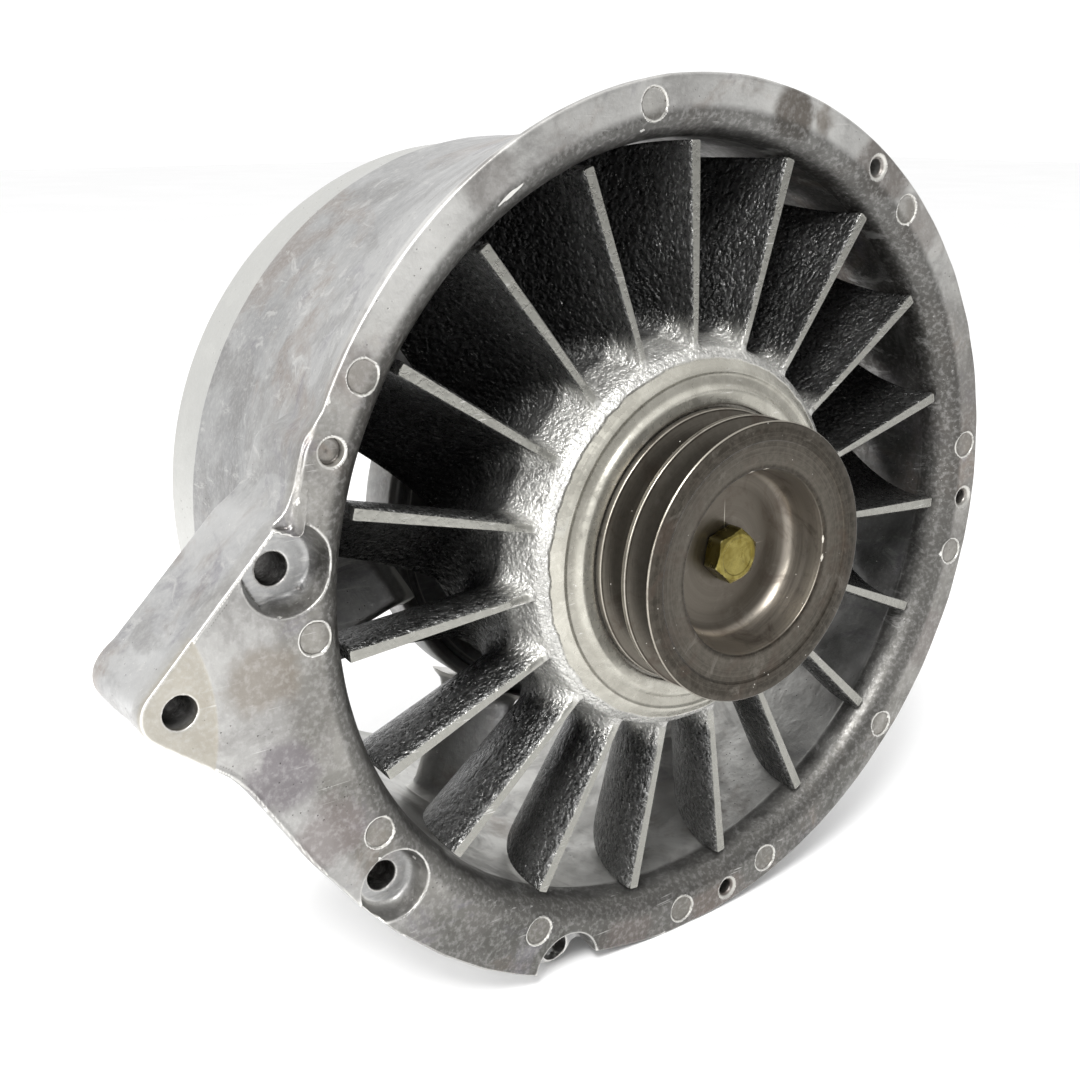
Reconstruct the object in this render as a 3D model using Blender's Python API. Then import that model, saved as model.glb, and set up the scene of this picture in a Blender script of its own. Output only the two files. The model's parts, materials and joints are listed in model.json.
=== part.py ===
"""Belt-driven axial cooling blower: fixed duct with a bolting lug, 19-blade impeller, V-belt pulley.

Metres, +Z up. The rotor turns about the Y axis: the pulley points to -Y and the air leaves to +Y.
The origin is on the rotor's axis, in the plane of the duct's rear end and of the rear cap's flat face.
Every profile is a list of (radius, y) points, and every outline a list of (x, z) points.
"""

import math

import bmesh
import bpy

GAP = 0.0003  # clearance between two pieces that touch on the real blower

# Duct
RIM_Y = -0.168
RIM_RADIUS = 0.175
RIM_EDGE = 0.002
FACE_INNER_RADIUS = 0.1635
LIP_DEPTH = 0.014
BORE_RADIUS = 0.1528
BORE_TAPER_Y = RIM_Y + 0.055
DUCT_END_RADIUS = 0.1430
WALL_END_RADIUS = 0.1514
WALL_FLARE = 2.1
REGISTER_Y = RIM_Y + 0.137
REGISTER_RADIUS = 0.1480
REGISTER_CHAMFER = 0.001
DUCT_SEGMENTS = 60

# Bolting lug, a block on the duct's side
LUG_DEPTH = 0.045
LUG_FACE_SETBACK = 0.0002
LUG_DRAFT = 0.003
LUG_FRONT_ARC = 0.1645
LUG_REAR_ARC = 0.1560
TIP_CENTRE = (-0.2155, -0.0165)
TIP_RADIUS = 0.0105
BOLT_HOLE_RADIUS = 0.0057
BOLT_HOLES = {
    "upper": (-0.1755, 0.0208),
    "tip": (-0.2131, -0.0163),
    "lower": (-0.1402, -0.1038),
    "foot": (-0.0615, -0.1655),
}
# Bolt seats: centre, radius at the mouth, radius at the floor, depth
BOLT_SEATS = (
    ((-0.1752, 0.0205), 0.0153, 0.0118, 0.010),
    ((-0.1402, -0.1038), 0.0136, 0.0112, 0.009),
    ((-0.0618, -0.1700), 0.0153, 0.0140, 0.009),
)
GUARD_HOLE_DEGREES = (56.7, 159.5, 279.1, 356.7)
GUARD_HOLE_RADIUS = 0.0026
GUARD_HOLE_CIRCLE = 0.1675
GUARD_HOLE_DEPTH = 0.014

# Impeller
BLADE_COUNT = 19
FIRST_BLADE_DEG = 109.76
BLADE_TIP_RADIUS = 0.1517
BLADE_TIP_DROP = 0.0124  # how far the tip has curved in where it meets the trailing edge
BLADE_ROOT_SINK = 0.0030
TIP_CURVE_Y = RIM_Y + 0.0022
BLADE_TIP_Y = RIM_Y + 0.005
BLADE_ROOT_Y = RIM_Y + 0.0018
BLADE_TIP_REAR_Y = RIM_Y + 0.0622
BLADE_ROOT_REAR_Y = RIM_Y + 0.0584
BLADE_THICKNESS = 0.0042
BLADE_THINNING = 0.35
BEND_START_Y = RIM_Y + 0.003
BEND_LENGTH = 0.060
BEND = (-0.013, 0.043, 0.0025)  # sideways shift per power of the share of BEND_LENGTH
BEND_RADIUS = 0.115
BEND_FADE = 0.8  # the shift shrinks towards the tip
HUB_FRONT_RADIUS = 0.0765
HUB_DRUM_RADIUS = 0.0803
HUB_REAR_RADIUS = 0.0818
HUB_CONE_Y = RIM_Y + 0.002
HUB_DRUM_Y = RIM_Y + 0.019
HUB_REAR_Y = RIM_Y + 0.059
HUB_WALL = 0.0065
HUB_FACE_Y = RIM_Y - 0.0049
HUB_LAND_Y = RIM_Y - 0.0062
HUB_SLEEVE_RADIUS = 0.0220
HUB_SLEEVE_END_Y = RIM_Y + 0.0186

# Pulley
PULLEY_RADIUS = 0.05435
PULLEY_FRONT_Y = RIM_Y - 0.0352
PULLEY_REAR_Y = RIM_Y - 0.0054
PULLEY_FLOOR_Y = RIM_Y - 0.016
PULLEY_RECESS_RADIUS = 0.0358
PULLEY_FLOOR_RADIUS = 0.0290
PULLEY_HOLE_RADIUS = 0.0065
GROOVE_DEPTH = 0.0105
GROOVE_TOP = 0.0120
GROOVE_BOTTOM = 0.0052
GROOVE_YS = (RIM_Y - 0.0282, RIM_Y - 0.0143)

# M12 bolt in the pulley's middle
BOLT_ACROSS_FLATS = 0.0190
BOLT_HEAD_HEIGHT = 0.0077
BOLT_SHANK_RADIUS = 0.0058
BOLT_END_Y = RIM_Y + 0.016

# Shaft and its key
SHAFT_RADIUS = 0.015
SHAFT_FRONT_Y = RIM_Y - 0.0105
SHAFT_REAR_Y = -0.0085
SHAFT_CHAMFER = 0.001
SHAFT_HOLE_RADIUS = 0.0061
SHAFT_HOLE_END_Y = RIM_Y + 0.020
SHAFT_SEGMENTS = 28
KEY_WIDTH = 0.008
KEY_DEPTH = 0.004
KEY_RISE = 0.0033
KEY_END_Y = RIM_Y + 0.0165

# Ball bearings, 30 x 72 x 19
BEARING_RADIUS = 0.036
BEARING_WIDTH = 0.019
BEARING_YS = {"front": RIM_Y + 0.0190, "rear": -0.0380}
OUTER_LAND_RADIUS = 0.0300
INNER_LAND_RADIUS = 0.0215
BALL_RADIUS = 0.006
BALL_CIRCLE = 0.02575
BALL_COUNT = 8
RACEWAY_RADIUS = BALL_RADIUS + 0.0008
CAGE_INNER_RADIUS = 0.0240
CAGE_OUTER_RADIUS = 0.0275
CAGE_HALF_WIDTH = 0.0076
WINDOW_RADIUS = 0.0068

# Pieces that hold the bearings
INNER_SPACER_RADIUS = 0.0200
OUTER_SPACER_BORE = 0.0318
SEAL_BORE = 0.0224
SEAL_END_Y = RIM_Y + 0.0163
RING_GROOVE_Y = RIM_Y + 0.0166
RING_GROOVE_WIDTH = 0.0020
RING_GROOVE_DEPTH = 0.0018
RING_BORE = 0.0320
WASHER_RADIUS = 0.0205
WASHER_THICKNESS = 0.0015
NUT_CORNER_RADIUS = 0.0228
NUT_HEIGHT = 0.0080

# Fixed hub with guide vanes
VANE_COUNT = 7
FIRST_VANE_DEG = 250.5
VANE_FRONT_Y = RIM_Y + 0.080
VANE_REAR_Y = RIM_Y + 0.104
VANE_SHIFT = 0.0225
VANE_CAMBER = 1.6
VANE_THICKNESS = 0.0050
VANE_EDGE = 0.55  # thickness of the vane's edges, as a share of its middle
VANE_RING_RADIUS = 0.0915
VANE_RING_WALL = 0.007
VANE_RING_REAR_Y = RIM_Y + 0.101
WEB_INNER_RADIUS = 0.060
WEB_FRONT_Y = VANE_FRONT_Y - 0.001
WEB_REAR_Y = VANE_FRONT_Y + 0.007
BOSS_RADIUS = 0.047
BOSS_FRONT_RADIUS = 0.044
BOSS_FRONT_Y = RIM_Y + 0.0130
BOSS_REAR_Y = -0.0120

# Rear cap, its gasket and its M6 screws
GASKET_THICKNESS = 0.001
GASKET_BORE = 0.0364
CAP_SEAT_Y = BOSS_REAR_Y + GASKET_THICKNESS + 2 * GAP
CAP_FLANGE_Y = -0.0050
CAP_SPIGOT_RADIUS = 0.0345
CAP_SPIGOT_Y = BOSS_REAR_Y - 0.0048
CAP_BORE = 0.0280
CAP_FLOOR_Y = -0.0045
CAP_FACE_RADIUS = 0.0310
SCREW_CIRCLE = 0.0415
SCREW_RADIUS = 0.003
SCREW_ACROSS_FLATS = 0.0100
SCREW_HEAD_HEIGHT = 0.0040
SCREW_END_Y = BOSS_REAR_Y - 0.011


def material(name, colour, roughness, metallic):
    found = bpy.data.materials.new(name)
    found.use_nodes = True
    shader = found.node_tree.nodes["Principled BSDF"]
    shader.inputs["Base Color"].default_value = (*colour, 1.0)
    shader.inputs["Roughness"].default_value = roughness
    shader.inputs["Metallic"].default_value = metallic
    return found


def finish(name, mesh_data, look=None):
    """Turns a closed bmesh into a smooth-shaded object with its faces pointing out."""
    bmesh.ops.recalc_face_normals(mesh_data, faces=mesh_data.faces)
    mesh = bpy.data.meshes.new(name)
    mesh_data.to_mesh(mesh)
    mesh_data.free()
    mesh.shade_smooth()
    mesh.set_sharp_from_angle(angle=math.radians(35))
    if look:
        mesh.materials.append(look)
    piece = bpy.data.objects.new(name, mesh)
    bpy.context.scene.collection.objects.link(piece)
    return piece


def polar(radius, degrees):
    angle = math.radians(degrees)
    return radius * math.cos(angle), radius * math.sin(angle)


def circle(x, z, radius, sides, start_deg=0):
    around = [polar(radius, start_deg + 360 * i / sides) for i in range(sides)]
    return [(x + dx, z + dz) for dx, dz in around]


def turned(name, profile, look=None, segments=28):
    """Revolves a closed profile about Y. Points with radius 0 become a single pole."""
    mesh_data = bmesh.new()
    rings = []
    for radius, y in profile:
        if radius == 0:
            rings.append([mesh_data.verts.new((0, y, 0))] * segments)
        else:
            around = circle(0, 0, radius, segments)
            rings.append([mesh_data.verts.new((x, y, z)) for x, z in around])
    for first, second in zip(rings, rings[1:] + rings[:1]):
        for i in range(segments):
            j = (i + 1) % segments
            distinct = list(dict.fromkeys([first[i], first[j], second[j], second[i]]))
            if len(distinct) > 2:
                mesh_data.faces.new(distinct)
    return finish(name, mesh_data, look)


def sleeve(name, inner, outer, start, end, look, segments=28):
    profile = [(inner, start), (outer, start), (outer, end), (inner, end)]
    return turned(name, profile, look, segments)


def add_loft(mesh_data, first, second):
    """A closed block between two rings of points with the same count."""
    starts = [mesh_data.verts.new(point) for point in first]
    ends = [mesh_data.verts.new(point) for point in second]
    mesh_data.faces.new(starts)
    mesh_data.faces.new(ends[::-1])
    for i in range(len(starts)):
        j = (i + 1) % len(starts)
        mesh_data.faces.new([starts[j], starts[i], ends[i], ends[j]])


def add_plate(mesh_data, rings):
    """A closed curved plate. Each ring of points runs down one side of it and back up the other."""
    rows = [[mesh_data.verts.new(point) for point in ring] for ring in rings]
    size = len(rows[0])
    for lower, upper in zip(rows, rows[1:]):
        for i in range(size):
            j = (i + 1) % size
            mesh_data.faces.new([lower[j], lower[i], upper[i], upper[j]])
    for i in range(size // 2 - 1):
        j = size - 1 - i
        mesh_data.faces.new([rows[0][i], rows[0][i + 1], rows[0][j - 1], rows[0][j]])
        mesh_data.faces.new([rows[-1][i + 1], rows[-1][i], rows[-1][j], rows[-1][j - 1]])


def add_prism(mesh_data, outline, front_y, rear_y, rear_outline=None):
    front = [(x, front_y, z) for x, z in outline]
    rear = [(x, rear_y, z) for x, z in rear_outline or outline]
    add_loft(mesh_data, front, rear)


def helper(piece):
    """Marks a cutter or a shape that is joined into another one."""
    piece.hide_render = True
    piece.display_type = "WIRE"
    return piece


def combine(piece, other, operation):
    change = piece.modifiers.new(f"{operation.lower()}_{other.name}", "BOOLEAN")
    change.operation = operation
    change.solver = "EXACT"
    change.object = helper(other)


def axis_empty(name, y):
    empty = bpy.data.objects.new(name, None)
    empty.location = (0, y, 0)
    bpy.context.scene.collection.objects.link(empty)
    return empty


def ride(empty, pieces):
    """Parents pieces to an empty on their joint's axis, where they already are."""
    for piece in pieces:
        piece.parent = empty
        piece.matrix_parent_inverse.translation = -empty.location


# Duct and lug


def flared_wall(steps):
    """The outer wall, from the rim's edge to the register: it necks in fast, then runs nearly straight."""
    front_y = RIM_Y + RIM_EDGE
    flare = RIM_RADIUS - WALL_END_RADIUS
    points = [(RIM_RADIUS, RIM_Y)]
    for i in range(steps + 1):
        share = i / steps
        radius = WALL_END_RADIUS + flare * (1 - share) ** WALL_FLARE
        points.append((radius, front_y + share * (REGISTER_Y - front_y)))
    return points


def inlet_lip(steps):
    """The rounded inlet, from the bore to the face's inner edge: a quarter of an ellipse."""
    width = FACE_INNER_RADIUS - BORE_RADIUS
    points = []
    for i in range(steps + 1):
        angle = math.pi / 2 * (1 - i / steps)
        radius = FACE_INNER_RADIUS - width * math.sin(angle)
        points.append((radius, RIM_Y + LIP_DEPTH * (1 - math.cos(angle))))
    return points


def lug_outline(top, draft, arc_radius):
    """The lug seen from the pulley: straight edges with a rounded tip, closed by an arc in the duct's wall.

    top holds the points where the block runs out into the wall above the lug, draft moves the lower
    edge towards the axis, and arc_radius is the radius of the closing arc.
    """
    peak = [(-0.1783, 0.0373)]
    tip = []
    for degrees in (140, 165, 190, 215, 232):
        x, z = polar(TIP_RADIUS, degrees)
        tip.append((TIP_CENTRE[0] + x, TIP_CENTRE[1] + z))
    neck = [(-0.1980, -0.0435), (-0.1925, -0.0500)]
    edge = [(-0.1707, -0.0850), (-0.1520, -0.1097), (-0.1394, -0.1238), (-0.1207, -0.1408)]
    foot = [(-0.1022, -0.1547), (-0.0841, -0.1650), (-0.0700, -0.1712), (-0.0615, -0.1732)]
    end = [(-0.0550, -0.1700), (-0.0520, -0.1625)]
    share = 1 - draft / RIM_RADIUS
    lower = [(x * share, z * share) for x, z in edge + foot + end]
    steps = 8
    first, last = 251, 160
    arc = [polar(arc_radius, first + (last - first) * i / steps) for i in range(steps + 1)]
    return top + peak + tip + neck + lower + arc


def make_lug():
    ledge = [(-0.1590, 0.0640), (-0.1650, 0.0612), (-0.1690, 0.0490), (-0.1735, 0.0405)]
    fairing = [(-0.1500, 0.0560), (-0.1580, 0.0555), (-0.1650, 0.0500), (-0.1725, 0.0415)]
    front = lug_outline(ledge, 0, LUG_FRONT_ARC)
    rear = lug_outline(fairing, LUG_DRAFT, LUG_REAR_ARC)
    block = bmesh.new()
    add_prism(block, front, RIM_Y + LUG_FACE_SETBACK, RIM_Y + LUG_DEPTH, rear)
    return finish("lug_block", block)


def make_housing(look):
    register = [
        (REGISTER_RADIUS, REGISTER_Y),
        (REGISTER_RADIUS, -REGISTER_CHAMFER),
        (REGISTER_RADIUS - REGISTER_CHAMFER, 0),
    ]
    bore = [(DUCT_END_RADIUS, 0), (BORE_RADIUS, BORE_TAPER_Y)]
    profile = flared_wall(5) + register + bore + inlet_lip(5)
    housing = turned("fan_housing", profile, look, DUCT_SEGMENTS)
    combine(housing, make_lug(), "UNION")

    reach = 0.004
    holes = bmesh.new()
    for x, z in BOLT_HOLES.values():
        outline = circle(x, z, BOLT_HOLE_RADIUS, 16)
        add_prism(holes, outline, RIM_Y - reach, RIM_Y + LUG_DEPTH + reach)
    for degrees in GUARD_HOLE_DEGREES:
        x, z = polar(GUARD_HOLE_CIRCLE, degrees)
        outline = circle(x, z, GUARD_HOLE_RADIUS, 8)
        add_prism(holes, outline, RIM_Y - reach, RIM_Y + GUARD_HOLE_DEPTH)
    combine(housing, finish("bolt_holes", holes), "DIFFERENCE")

    seats = bmesh.new()
    for (x, z), mouth, floor, depth in BOLT_SEATS:
        widest = mouth + reach * (mouth - floor) / depth
        add_prism(seats, circle(x, z, widest, 20), RIM_Y - reach, RIM_Y + depth, circle(x, z, floor, 20))
    combine(housing, finish("bolt_seats", seats), "DIFFERENCE")
    return housing


# Fixed hub with guide vanes


def vane_section(steps):
    """(across, y) outline of a guide vane: steep at its front edge, along the axis at its rear edge."""
    length = VANE_REAR_Y - VANE_FRONT_Y
    left, right = [], []
    for i in range(steps + 1):
        share = i / steps
        y = VANE_FRONT_Y + share * length
        shift = -VANE_SHIFT * (1 - (1 - share) ** VANE_CAMBER)
        slope = -VANE_SHIFT * VANE_CAMBER * (1 - share) ** (VANE_CAMBER - 1) / length
        half = VANE_THICKNESS / 2
        if i in (0, steps):
            half *= VANE_EDGE
        lean = 1 / math.hypot(1, slope)
        left.append((shift + half * lean, y - half * slope * lean))
        right.append((shift - half * lean, y + half * slope * lean))
    return left + right[::-1]


def duct_radius(y):
    """The bore's radius at y, measured to the middle of its flats."""
    share = max(0, (y - BORE_TAPER_Y) / -BORE_TAPER_Y)
    radius = BORE_RADIUS + share * (DUCT_END_RADIUS - BORE_RADIUS)
    return radius * math.cos(math.pi / DUCT_SEGMENTS)


def add_vane(mesh_data, degrees):
    along = polar(1, degrees)
    across = (-along[1], along[0])
    root, tip = [], []
    for shift, y in vane_section(5):
        inner = VANE_RING_RADIUS - VANE_RING_WALL / 2
        outer = math.sqrt((duct_radius(y) - GAP) ** 2 - shift**2)
        for ring, reach in ((root, inner), (tip, outer)):
            x = reach * along[0] + shift * across[0]
            z = reach * along[1] + shift * across[1]
            ring.append((x, y, z))
    add_loft(mesh_data, root, tip)


def make_vane_hub(look):
    seat = BEARING_RADIUS
    groove = seat + RING_GROOVE_DEPTH
    groove_end = RING_GROOVE_Y + RING_GROOVE_WIDTH
    ring_bore = VANE_RING_RADIUS - VANE_RING_WALL
    profile = [
        (VANE_RING_RADIUS, VANE_RING_REAR_Y),
        (VANE_RING_RADIUS + 0.0005, VANE_FRONT_Y + 0.002),
        (VANE_RING_RADIUS - 0.002, WEB_FRONT_Y),
        (WEB_INNER_RADIUS, WEB_FRONT_Y),
        (BOSS_RADIUS + 0.002, WEB_FRONT_Y - 0.007),
        (BOSS_FRONT_RADIUS, BOSS_FRONT_Y),
        (seat, BOSS_FRONT_Y),
        (seat, RING_GROOVE_Y),
        (groove, RING_GROOVE_Y),
        (groove, groove_end),
        (seat, groove_end),
        (seat, BOSS_REAR_Y),
        (BOSS_RADIUS, BOSS_REAR_Y),
        (BOSS_RADIUS + 0.002, WEB_REAR_Y + 0.012),
        (WEB_INNER_RADIUS, WEB_REAR_Y),
        (ring_bore - 0.003, WEB_REAR_Y),
        (ring_bore, WEB_REAR_Y + 0.004),
        (ring_bore, VANE_RING_REAR_Y),
    ]
    hub = turned("guide_vane_hub", profile, look, 42)
    vanes = bmesh.new()
    for i in range(VANE_COUNT):
        add_vane(vanes, FIRST_VANE_DEG + 360 * i / VANE_COUNT)
    combine(hub, finish("guide_vanes", vanes), "UNION")
    drill_for_screws(hub, SCREW_END_Y - 0.002, BOSS_REAR_Y + 0.002)
    return hub


# Impeller


def hub_radius(y):
    """The impeller hub's outer radius: a cone at the front, then a nearly straight drum."""
    if y < HUB_DRUM_Y:
        share = max(0, (y - HUB_CONE_Y) / (HUB_DRUM_Y - HUB_CONE_Y))
        return HUB_FRONT_RADIUS + share * (HUB_DRUM_RADIUS - HUB_FRONT_RADIUS)
    share = (y - HUB_DRUM_Y) / (HUB_REAR_Y - HUB_DRUM_Y)
    return HUB_DRUM_RADIUS + share * (HUB_REAR_RADIUS - HUB_DRUM_RADIUS)


def tip_radius(y):
    """The blades' outer end, a quarter of an ellipse that curves in towards the rear."""
    share = min(1, max(0, y - TIP_CURVE_Y) / (BLADE_TIP_REAR_Y - TIP_CURVE_Y))
    return BLADE_TIP_RADIUS - BLADE_TIP_DROP * (1 - math.sqrt(1 - share**2))


def blade_ring(span, degrees, steps):
    """One blade's outline at a share of its span: down its leading side and back up its trailing side."""
    front_y = BLADE_ROOT_Y + (BLADE_TIP_Y - BLADE_ROOT_Y) * span
    rear_y = BLADE_ROOT_REAR_Y + (BLADE_TIP_REAR_Y - BLADE_ROOT_REAR_Y) * span**2.5
    left, right = [], []
    for i in range(steps + 1):
        share = 1 - (1 - i / steps) ** 1.4
        y = front_y + share * (rear_y - front_y)
        root = hub_radius(y) - BLADE_ROOT_SINK
        radius = root + (tip_radius(y) - root) * span
        along = (y - BEND_START_Y) / BEND_LENGTH
        fade = (BEND_RADIUS / radius) ** BEND_FADE
        shift = fade * sum(bend * along**power for power, bend in enumerate(BEND, 1))
        slope = fade * sum(bend * power * along ** (power - 1) for power, bend in enumerate(BEND, 1))
        half = BLADE_THICKNESS / 2 * (1 - BLADE_THINNING * share) * math.hypot(1, slope / BEND_LENGTH)
        for side, run in ((1, left), (-1, right)):
            x, z = polar(radius, degrees + math.degrees((shift + side * half) / radius))
            run.append((x, y, z))
    return left + right[::-1]


def make_impeller(look):
    bore = SHAFT_RADIUS + GAP
    profile = [
        (bore, HUB_FACE_Y),
        (0.0555, HUB_FACE_Y),
        (0.0555, HUB_LAND_Y),
        (0.0600, HUB_LAND_Y),
        (0.0687, RIM_Y - 0.0041),
        (0.0755, RIM_Y + 0.0004),
        (HUB_FRONT_RADIUS, HUB_CONE_Y),
        (HUB_DRUM_RADIUS, HUB_DRUM_Y),
        (HUB_REAR_RADIUS, HUB_REAR_Y),
        (HUB_REAR_RADIUS - HUB_WALL, HUB_REAR_Y),
        (0.0700, RIM_Y + 0.0120),
        (0.0620, RIM_Y + 0.0060),
        (0.0300, RIM_Y + 0.0060),
        (HUB_SLEEVE_RADIUS, RIM_Y + 0.0105),
        (HUB_SLEEVE_RADIUS, HUB_SLEEVE_END_Y),
        (bore, HUB_SLEEVE_END_Y),
    ]
    impeller = turned("impeller", profile, look, 38)
    blades = bmesh.new()
    for i in range(BLADE_COUNT):
        degrees = FIRST_BLADE_DEG - 360 * i / BLADE_COUNT
        add_plate(blades, [blade_ring(span, degrees, 9) for span in (0, 0.25, 0.55, 0.8, 1)])
    combine(impeller, finish("blades", blades), "UNION")
    keyway = key_block("impeller_keyway", HUB_LAND_Y, HUB_SLEEVE_END_Y + 0.002, GAP)
    combine(impeller, keyway, "DIFFERENCE")
    return impeller


# Pulley, bolt, key and shaft


def key_block(name, front_y, rear_y, grow, look=None):
    half = KEY_WIDTH / 2 + grow
    low = SHAFT_RADIUS - KEY_DEPTH - grow
    high = SHAFT_RADIUS + KEY_RISE + grow
    block = bmesh.new()
    add_prism(block, [(-half, low), (half, low), (half, high), (-half, high)], front_y, rear_y)
    return finish(name, block, look)


def groove_profile(middle):
    top = GROOVE_TOP / 2
    bottom = GROOVE_BOTTOM / 2
    floor = PULLEY_RADIUS - GROOVE_DEPTH
    return [
        (PULLEY_RADIUS, middle - top),
        (floor, middle - bottom),
        (floor, middle + bottom),
        (PULLEY_RADIUS, middle + top),
    ]


def make_pulley(look):
    bore = SHAFT_RADIUS + GAP
    bore_end = SHAFT_FRONT_Y - GAP
    edge = 0.0005
    profile = [
        (PULLEY_HOLE_RADIUS, PULLEY_FLOOR_Y),
        (PULLEY_FLOOR_RADIUS, PULLEY_FLOOR_Y),
        (PULLEY_FLOOR_RADIUS + 0.0028, PULLEY_FLOOR_Y - 0.0012),
        (PULLEY_RECESS_RADIUS - 0.0020, PULLEY_FLOOR_Y - 0.0040),
        (PULLEY_RECESS_RADIUS, PULLEY_FRONT_Y + 0.0042),
        (0.0470, PULLEY_FRONT_Y + edge),
        (0.0520, PULLEY_FRONT_Y),
        (PULLEY_RADIUS, PULLEY_FRONT_Y + edge),
    ]
    for middle in GROOVE_YS:
        profile += groove_profile(middle)
    profile += [
        (PULLEY_RADIUS, PULLEY_REAR_Y - edge),
        (PULLEY_RADIUS - edge, PULLEY_REAR_Y),
        (bore, PULLEY_REAR_Y),
        (bore, bore_end),
        (PULLEY_HOLE_RADIUS, bore_end),
    ]
    pulley = turned("drive_pulley", profile, look, 40)
    keyway = key_block("pulley_keyway", bore_end - 0.0002, HUB_FACE_Y + 0.001, GAP)
    combine(pulley, keyway, "DIFFERENCE")
    return pulley


def make_bolt(look):
    """Hexagon bolt with a chamfered head."""
    corner = BOLT_ACROSS_FLATS / math.sqrt(3)
    seat_y = PULLEY_FLOOR_Y - GAP
    face_y = seat_y - BOLT_HEAD_HEIGHT
    point = 0.002
    head = bmesh.new()
    add_prism(head, circle(0, 0, corner, 6, 18), face_y, seat_y)
    bolt = finish("pulley_bolt", head, look)
    shank = [
        (0, seat_y - point),
        (BOLT_SHANK_RADIUS, seat_y - point),
        (BOLT_SHANK_RADIUS, BOLT_END_Y - point),
        (0, BOLT_END_Y),
    ]
    combine(bolt, turned("bolt_shank", shank, None, 20), "UNION")
    limit = [
        (0, face_y - point),
        (corner - 0.0034, face_y - point),
        (corner - 0.0018, face_y),
        (corner + GAP, face_y + 0.0012),
        (corner + GAP, BOLT_END_Y + point),
        (0, BOLT_END_Y + point),
    ]
    combine(bolt, turned("bolt_chamfer", limit, None, 24), "INTERSECT")
    return bolt


def make_shaft(look):
    edge = SHAFT_CHAMFER
    profile = [
        (0, SHAFT_HOLE_END_Y),
        (SHAFT_HOLE_RADIUS, SHAFT_HOLE_END_Y - 0.002),
        (SHAFT_HOLE_RADIUS, SHAFT_FRONT_Y),
        (SHAFT_RADIUS - edge, SHAFT_FRONT_Y),
        (SHAFT_RADIUS, SHAFT_FRONT_Y + edge),
        (SHAFT_RADIUS, SHAFT_REAR_Y - edge),
        (SHAFT_RADIUS - edge, SHAFT_REAR_Y),
        (0, SHAFT_REAR_Y),
    ]
    shaft = turned("fan_shaft", profile, look, SHAFT_SEGMENTS)
    keyway = key_block("shaft_keyway", SHAFT_FRONT_Y - 0.002, KEY_END_Y + 0.0005, GAP)
    combine(shaft, keyway, "DIFFERENCE")
    return shaft


# Bearings


def raceway(middle, side):
    """The ball groove of a race: side is 1 for the outer race and -1 for the inner one."""
    points = []
    for degrees in (-40, 0, 40):
        offset, y = polar(RACEWAY_RADIUS, degrees)
        points.append((BALL_CIRCLE + side * offset, middle + y))
    return points


def make_bearing(place, steel, bronze):
    """Two races, and a cage that carries its balls. Returns the inner race."""
    start = BEARING_YS[place]
    end = start + BEARING_WIDTH
    middle = (start + end) / 2
    edge = BEARING_RADIUS - GAP
    bore = SHAFT_RADIUS + GAP
    outer = [(OUTER_LAND_RADIUS, start), (edge, start), (edge, end), (OUTER_LAND_RADIUS, end)]
    turned(f"{place}_bearing_outer_race", outer + raceway(middle, 1)[::-1], steel)
    inner = [(INNER_LAND_RADIUS, end), (bore, end), (bore, start), (INNER_LAND_RADIUS, start)]
    inner_race = turned(f"{place}_bearing_inner_race", inner + raceway(middle, -1), steel)
    cage_start = middle - CAGE_HALF_WIDTH
    cage_end = middle + CAGE_HALF_WIDTH
    name = f"{place}_bearing_cage"
    cage = sleeve(name, CAGE_INNER_RADIUS, CAGE_OUTER_RADIUS, cage_start, cage_end, bronze, 24)
    windows = bmesh.new()
    balls = []
    for i in range(BALL_COUNT):
        degrees = 360 * i / BALL_COUNT
        add_window(windows, degrees, middle)
        balls.append(make_ball(f"{place}_bearing_ball_{i + 1}", degrees, middle, steel))
    combine(cage, finish(f"{place}_cage_windows", windows), "DIFFERENCE")
    ride(axis_empty(f"{place}_cage_axis", middle), [cage] + balls)
    return inner_race


def add_window(mesh_data, degrees, middle):
    """An eight-sided radial hole for one ball."""
    along = polar(1, degrees)
    across = (-along[1], along[0])
    outline = circle(0, middle, WINDOW_RADIUS, 8, 22.5)
    rings = []
    for reach in (CAGE_INNER_RADIUS - 0.004, CAGE_OUTER_RADIUS + 0.004):
        ring = []
        for shift, y in outline:
            x = reach * along[0] + shift * across[0]
            z = reach * along[1] + shift * across[1]
            ring.append((x, y, z))
        rings.append(ring)
    add_loft(mesh_data, rings[0], rings[1])


def make_ball(name, degrees, middle, look):
    mesh_data = bmesh.new()
    bmesh.ops.create_icosphere(mesh_data, subdivisions=2, radius=BALL_RADIUS)
    ball = finish(name, mesh_data, look)
    x, z = polar(BALL_CIRCLE, degrees)
    ball.location = (x, middle, z)
    return ball


def make_lock_nut(start, look):
    end = start + NUT_HEIGHT
    reach = 0.002
    nut = bmesh.new()
    add_prism(nut, circle(0, 0, NUT_CORNER_RADIUS, 6), start, end)
    lock_nut = finish("shaft_lock_nut", nut, look)
    hole = bmesh.new()
    add_prism(hole, circle(0, 0, SHAFT_RADIUS + GAP, SHAFT_SEGMENTS), start - reach, end + reach)
    combine(lock_nut, finish("nut_hole", hole), "DIFFERENCE")
    return lock_nut


# Rear cap


def screw_places():
    return circle(0, 0, SCREW_CIRCLE, 4, 45)


def drill_for_screws(piece, front_y, rear_y):
    holes = bmesh.new()
    for x, z in screw_places():
        add_prism(holes, circle(x, z, SCREW_RADIUS + GAP, 8), front_y, rear_y)
    combine(piece, finish(f"{piece.name}_holes", holes), "DIFFERENCE")


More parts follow.
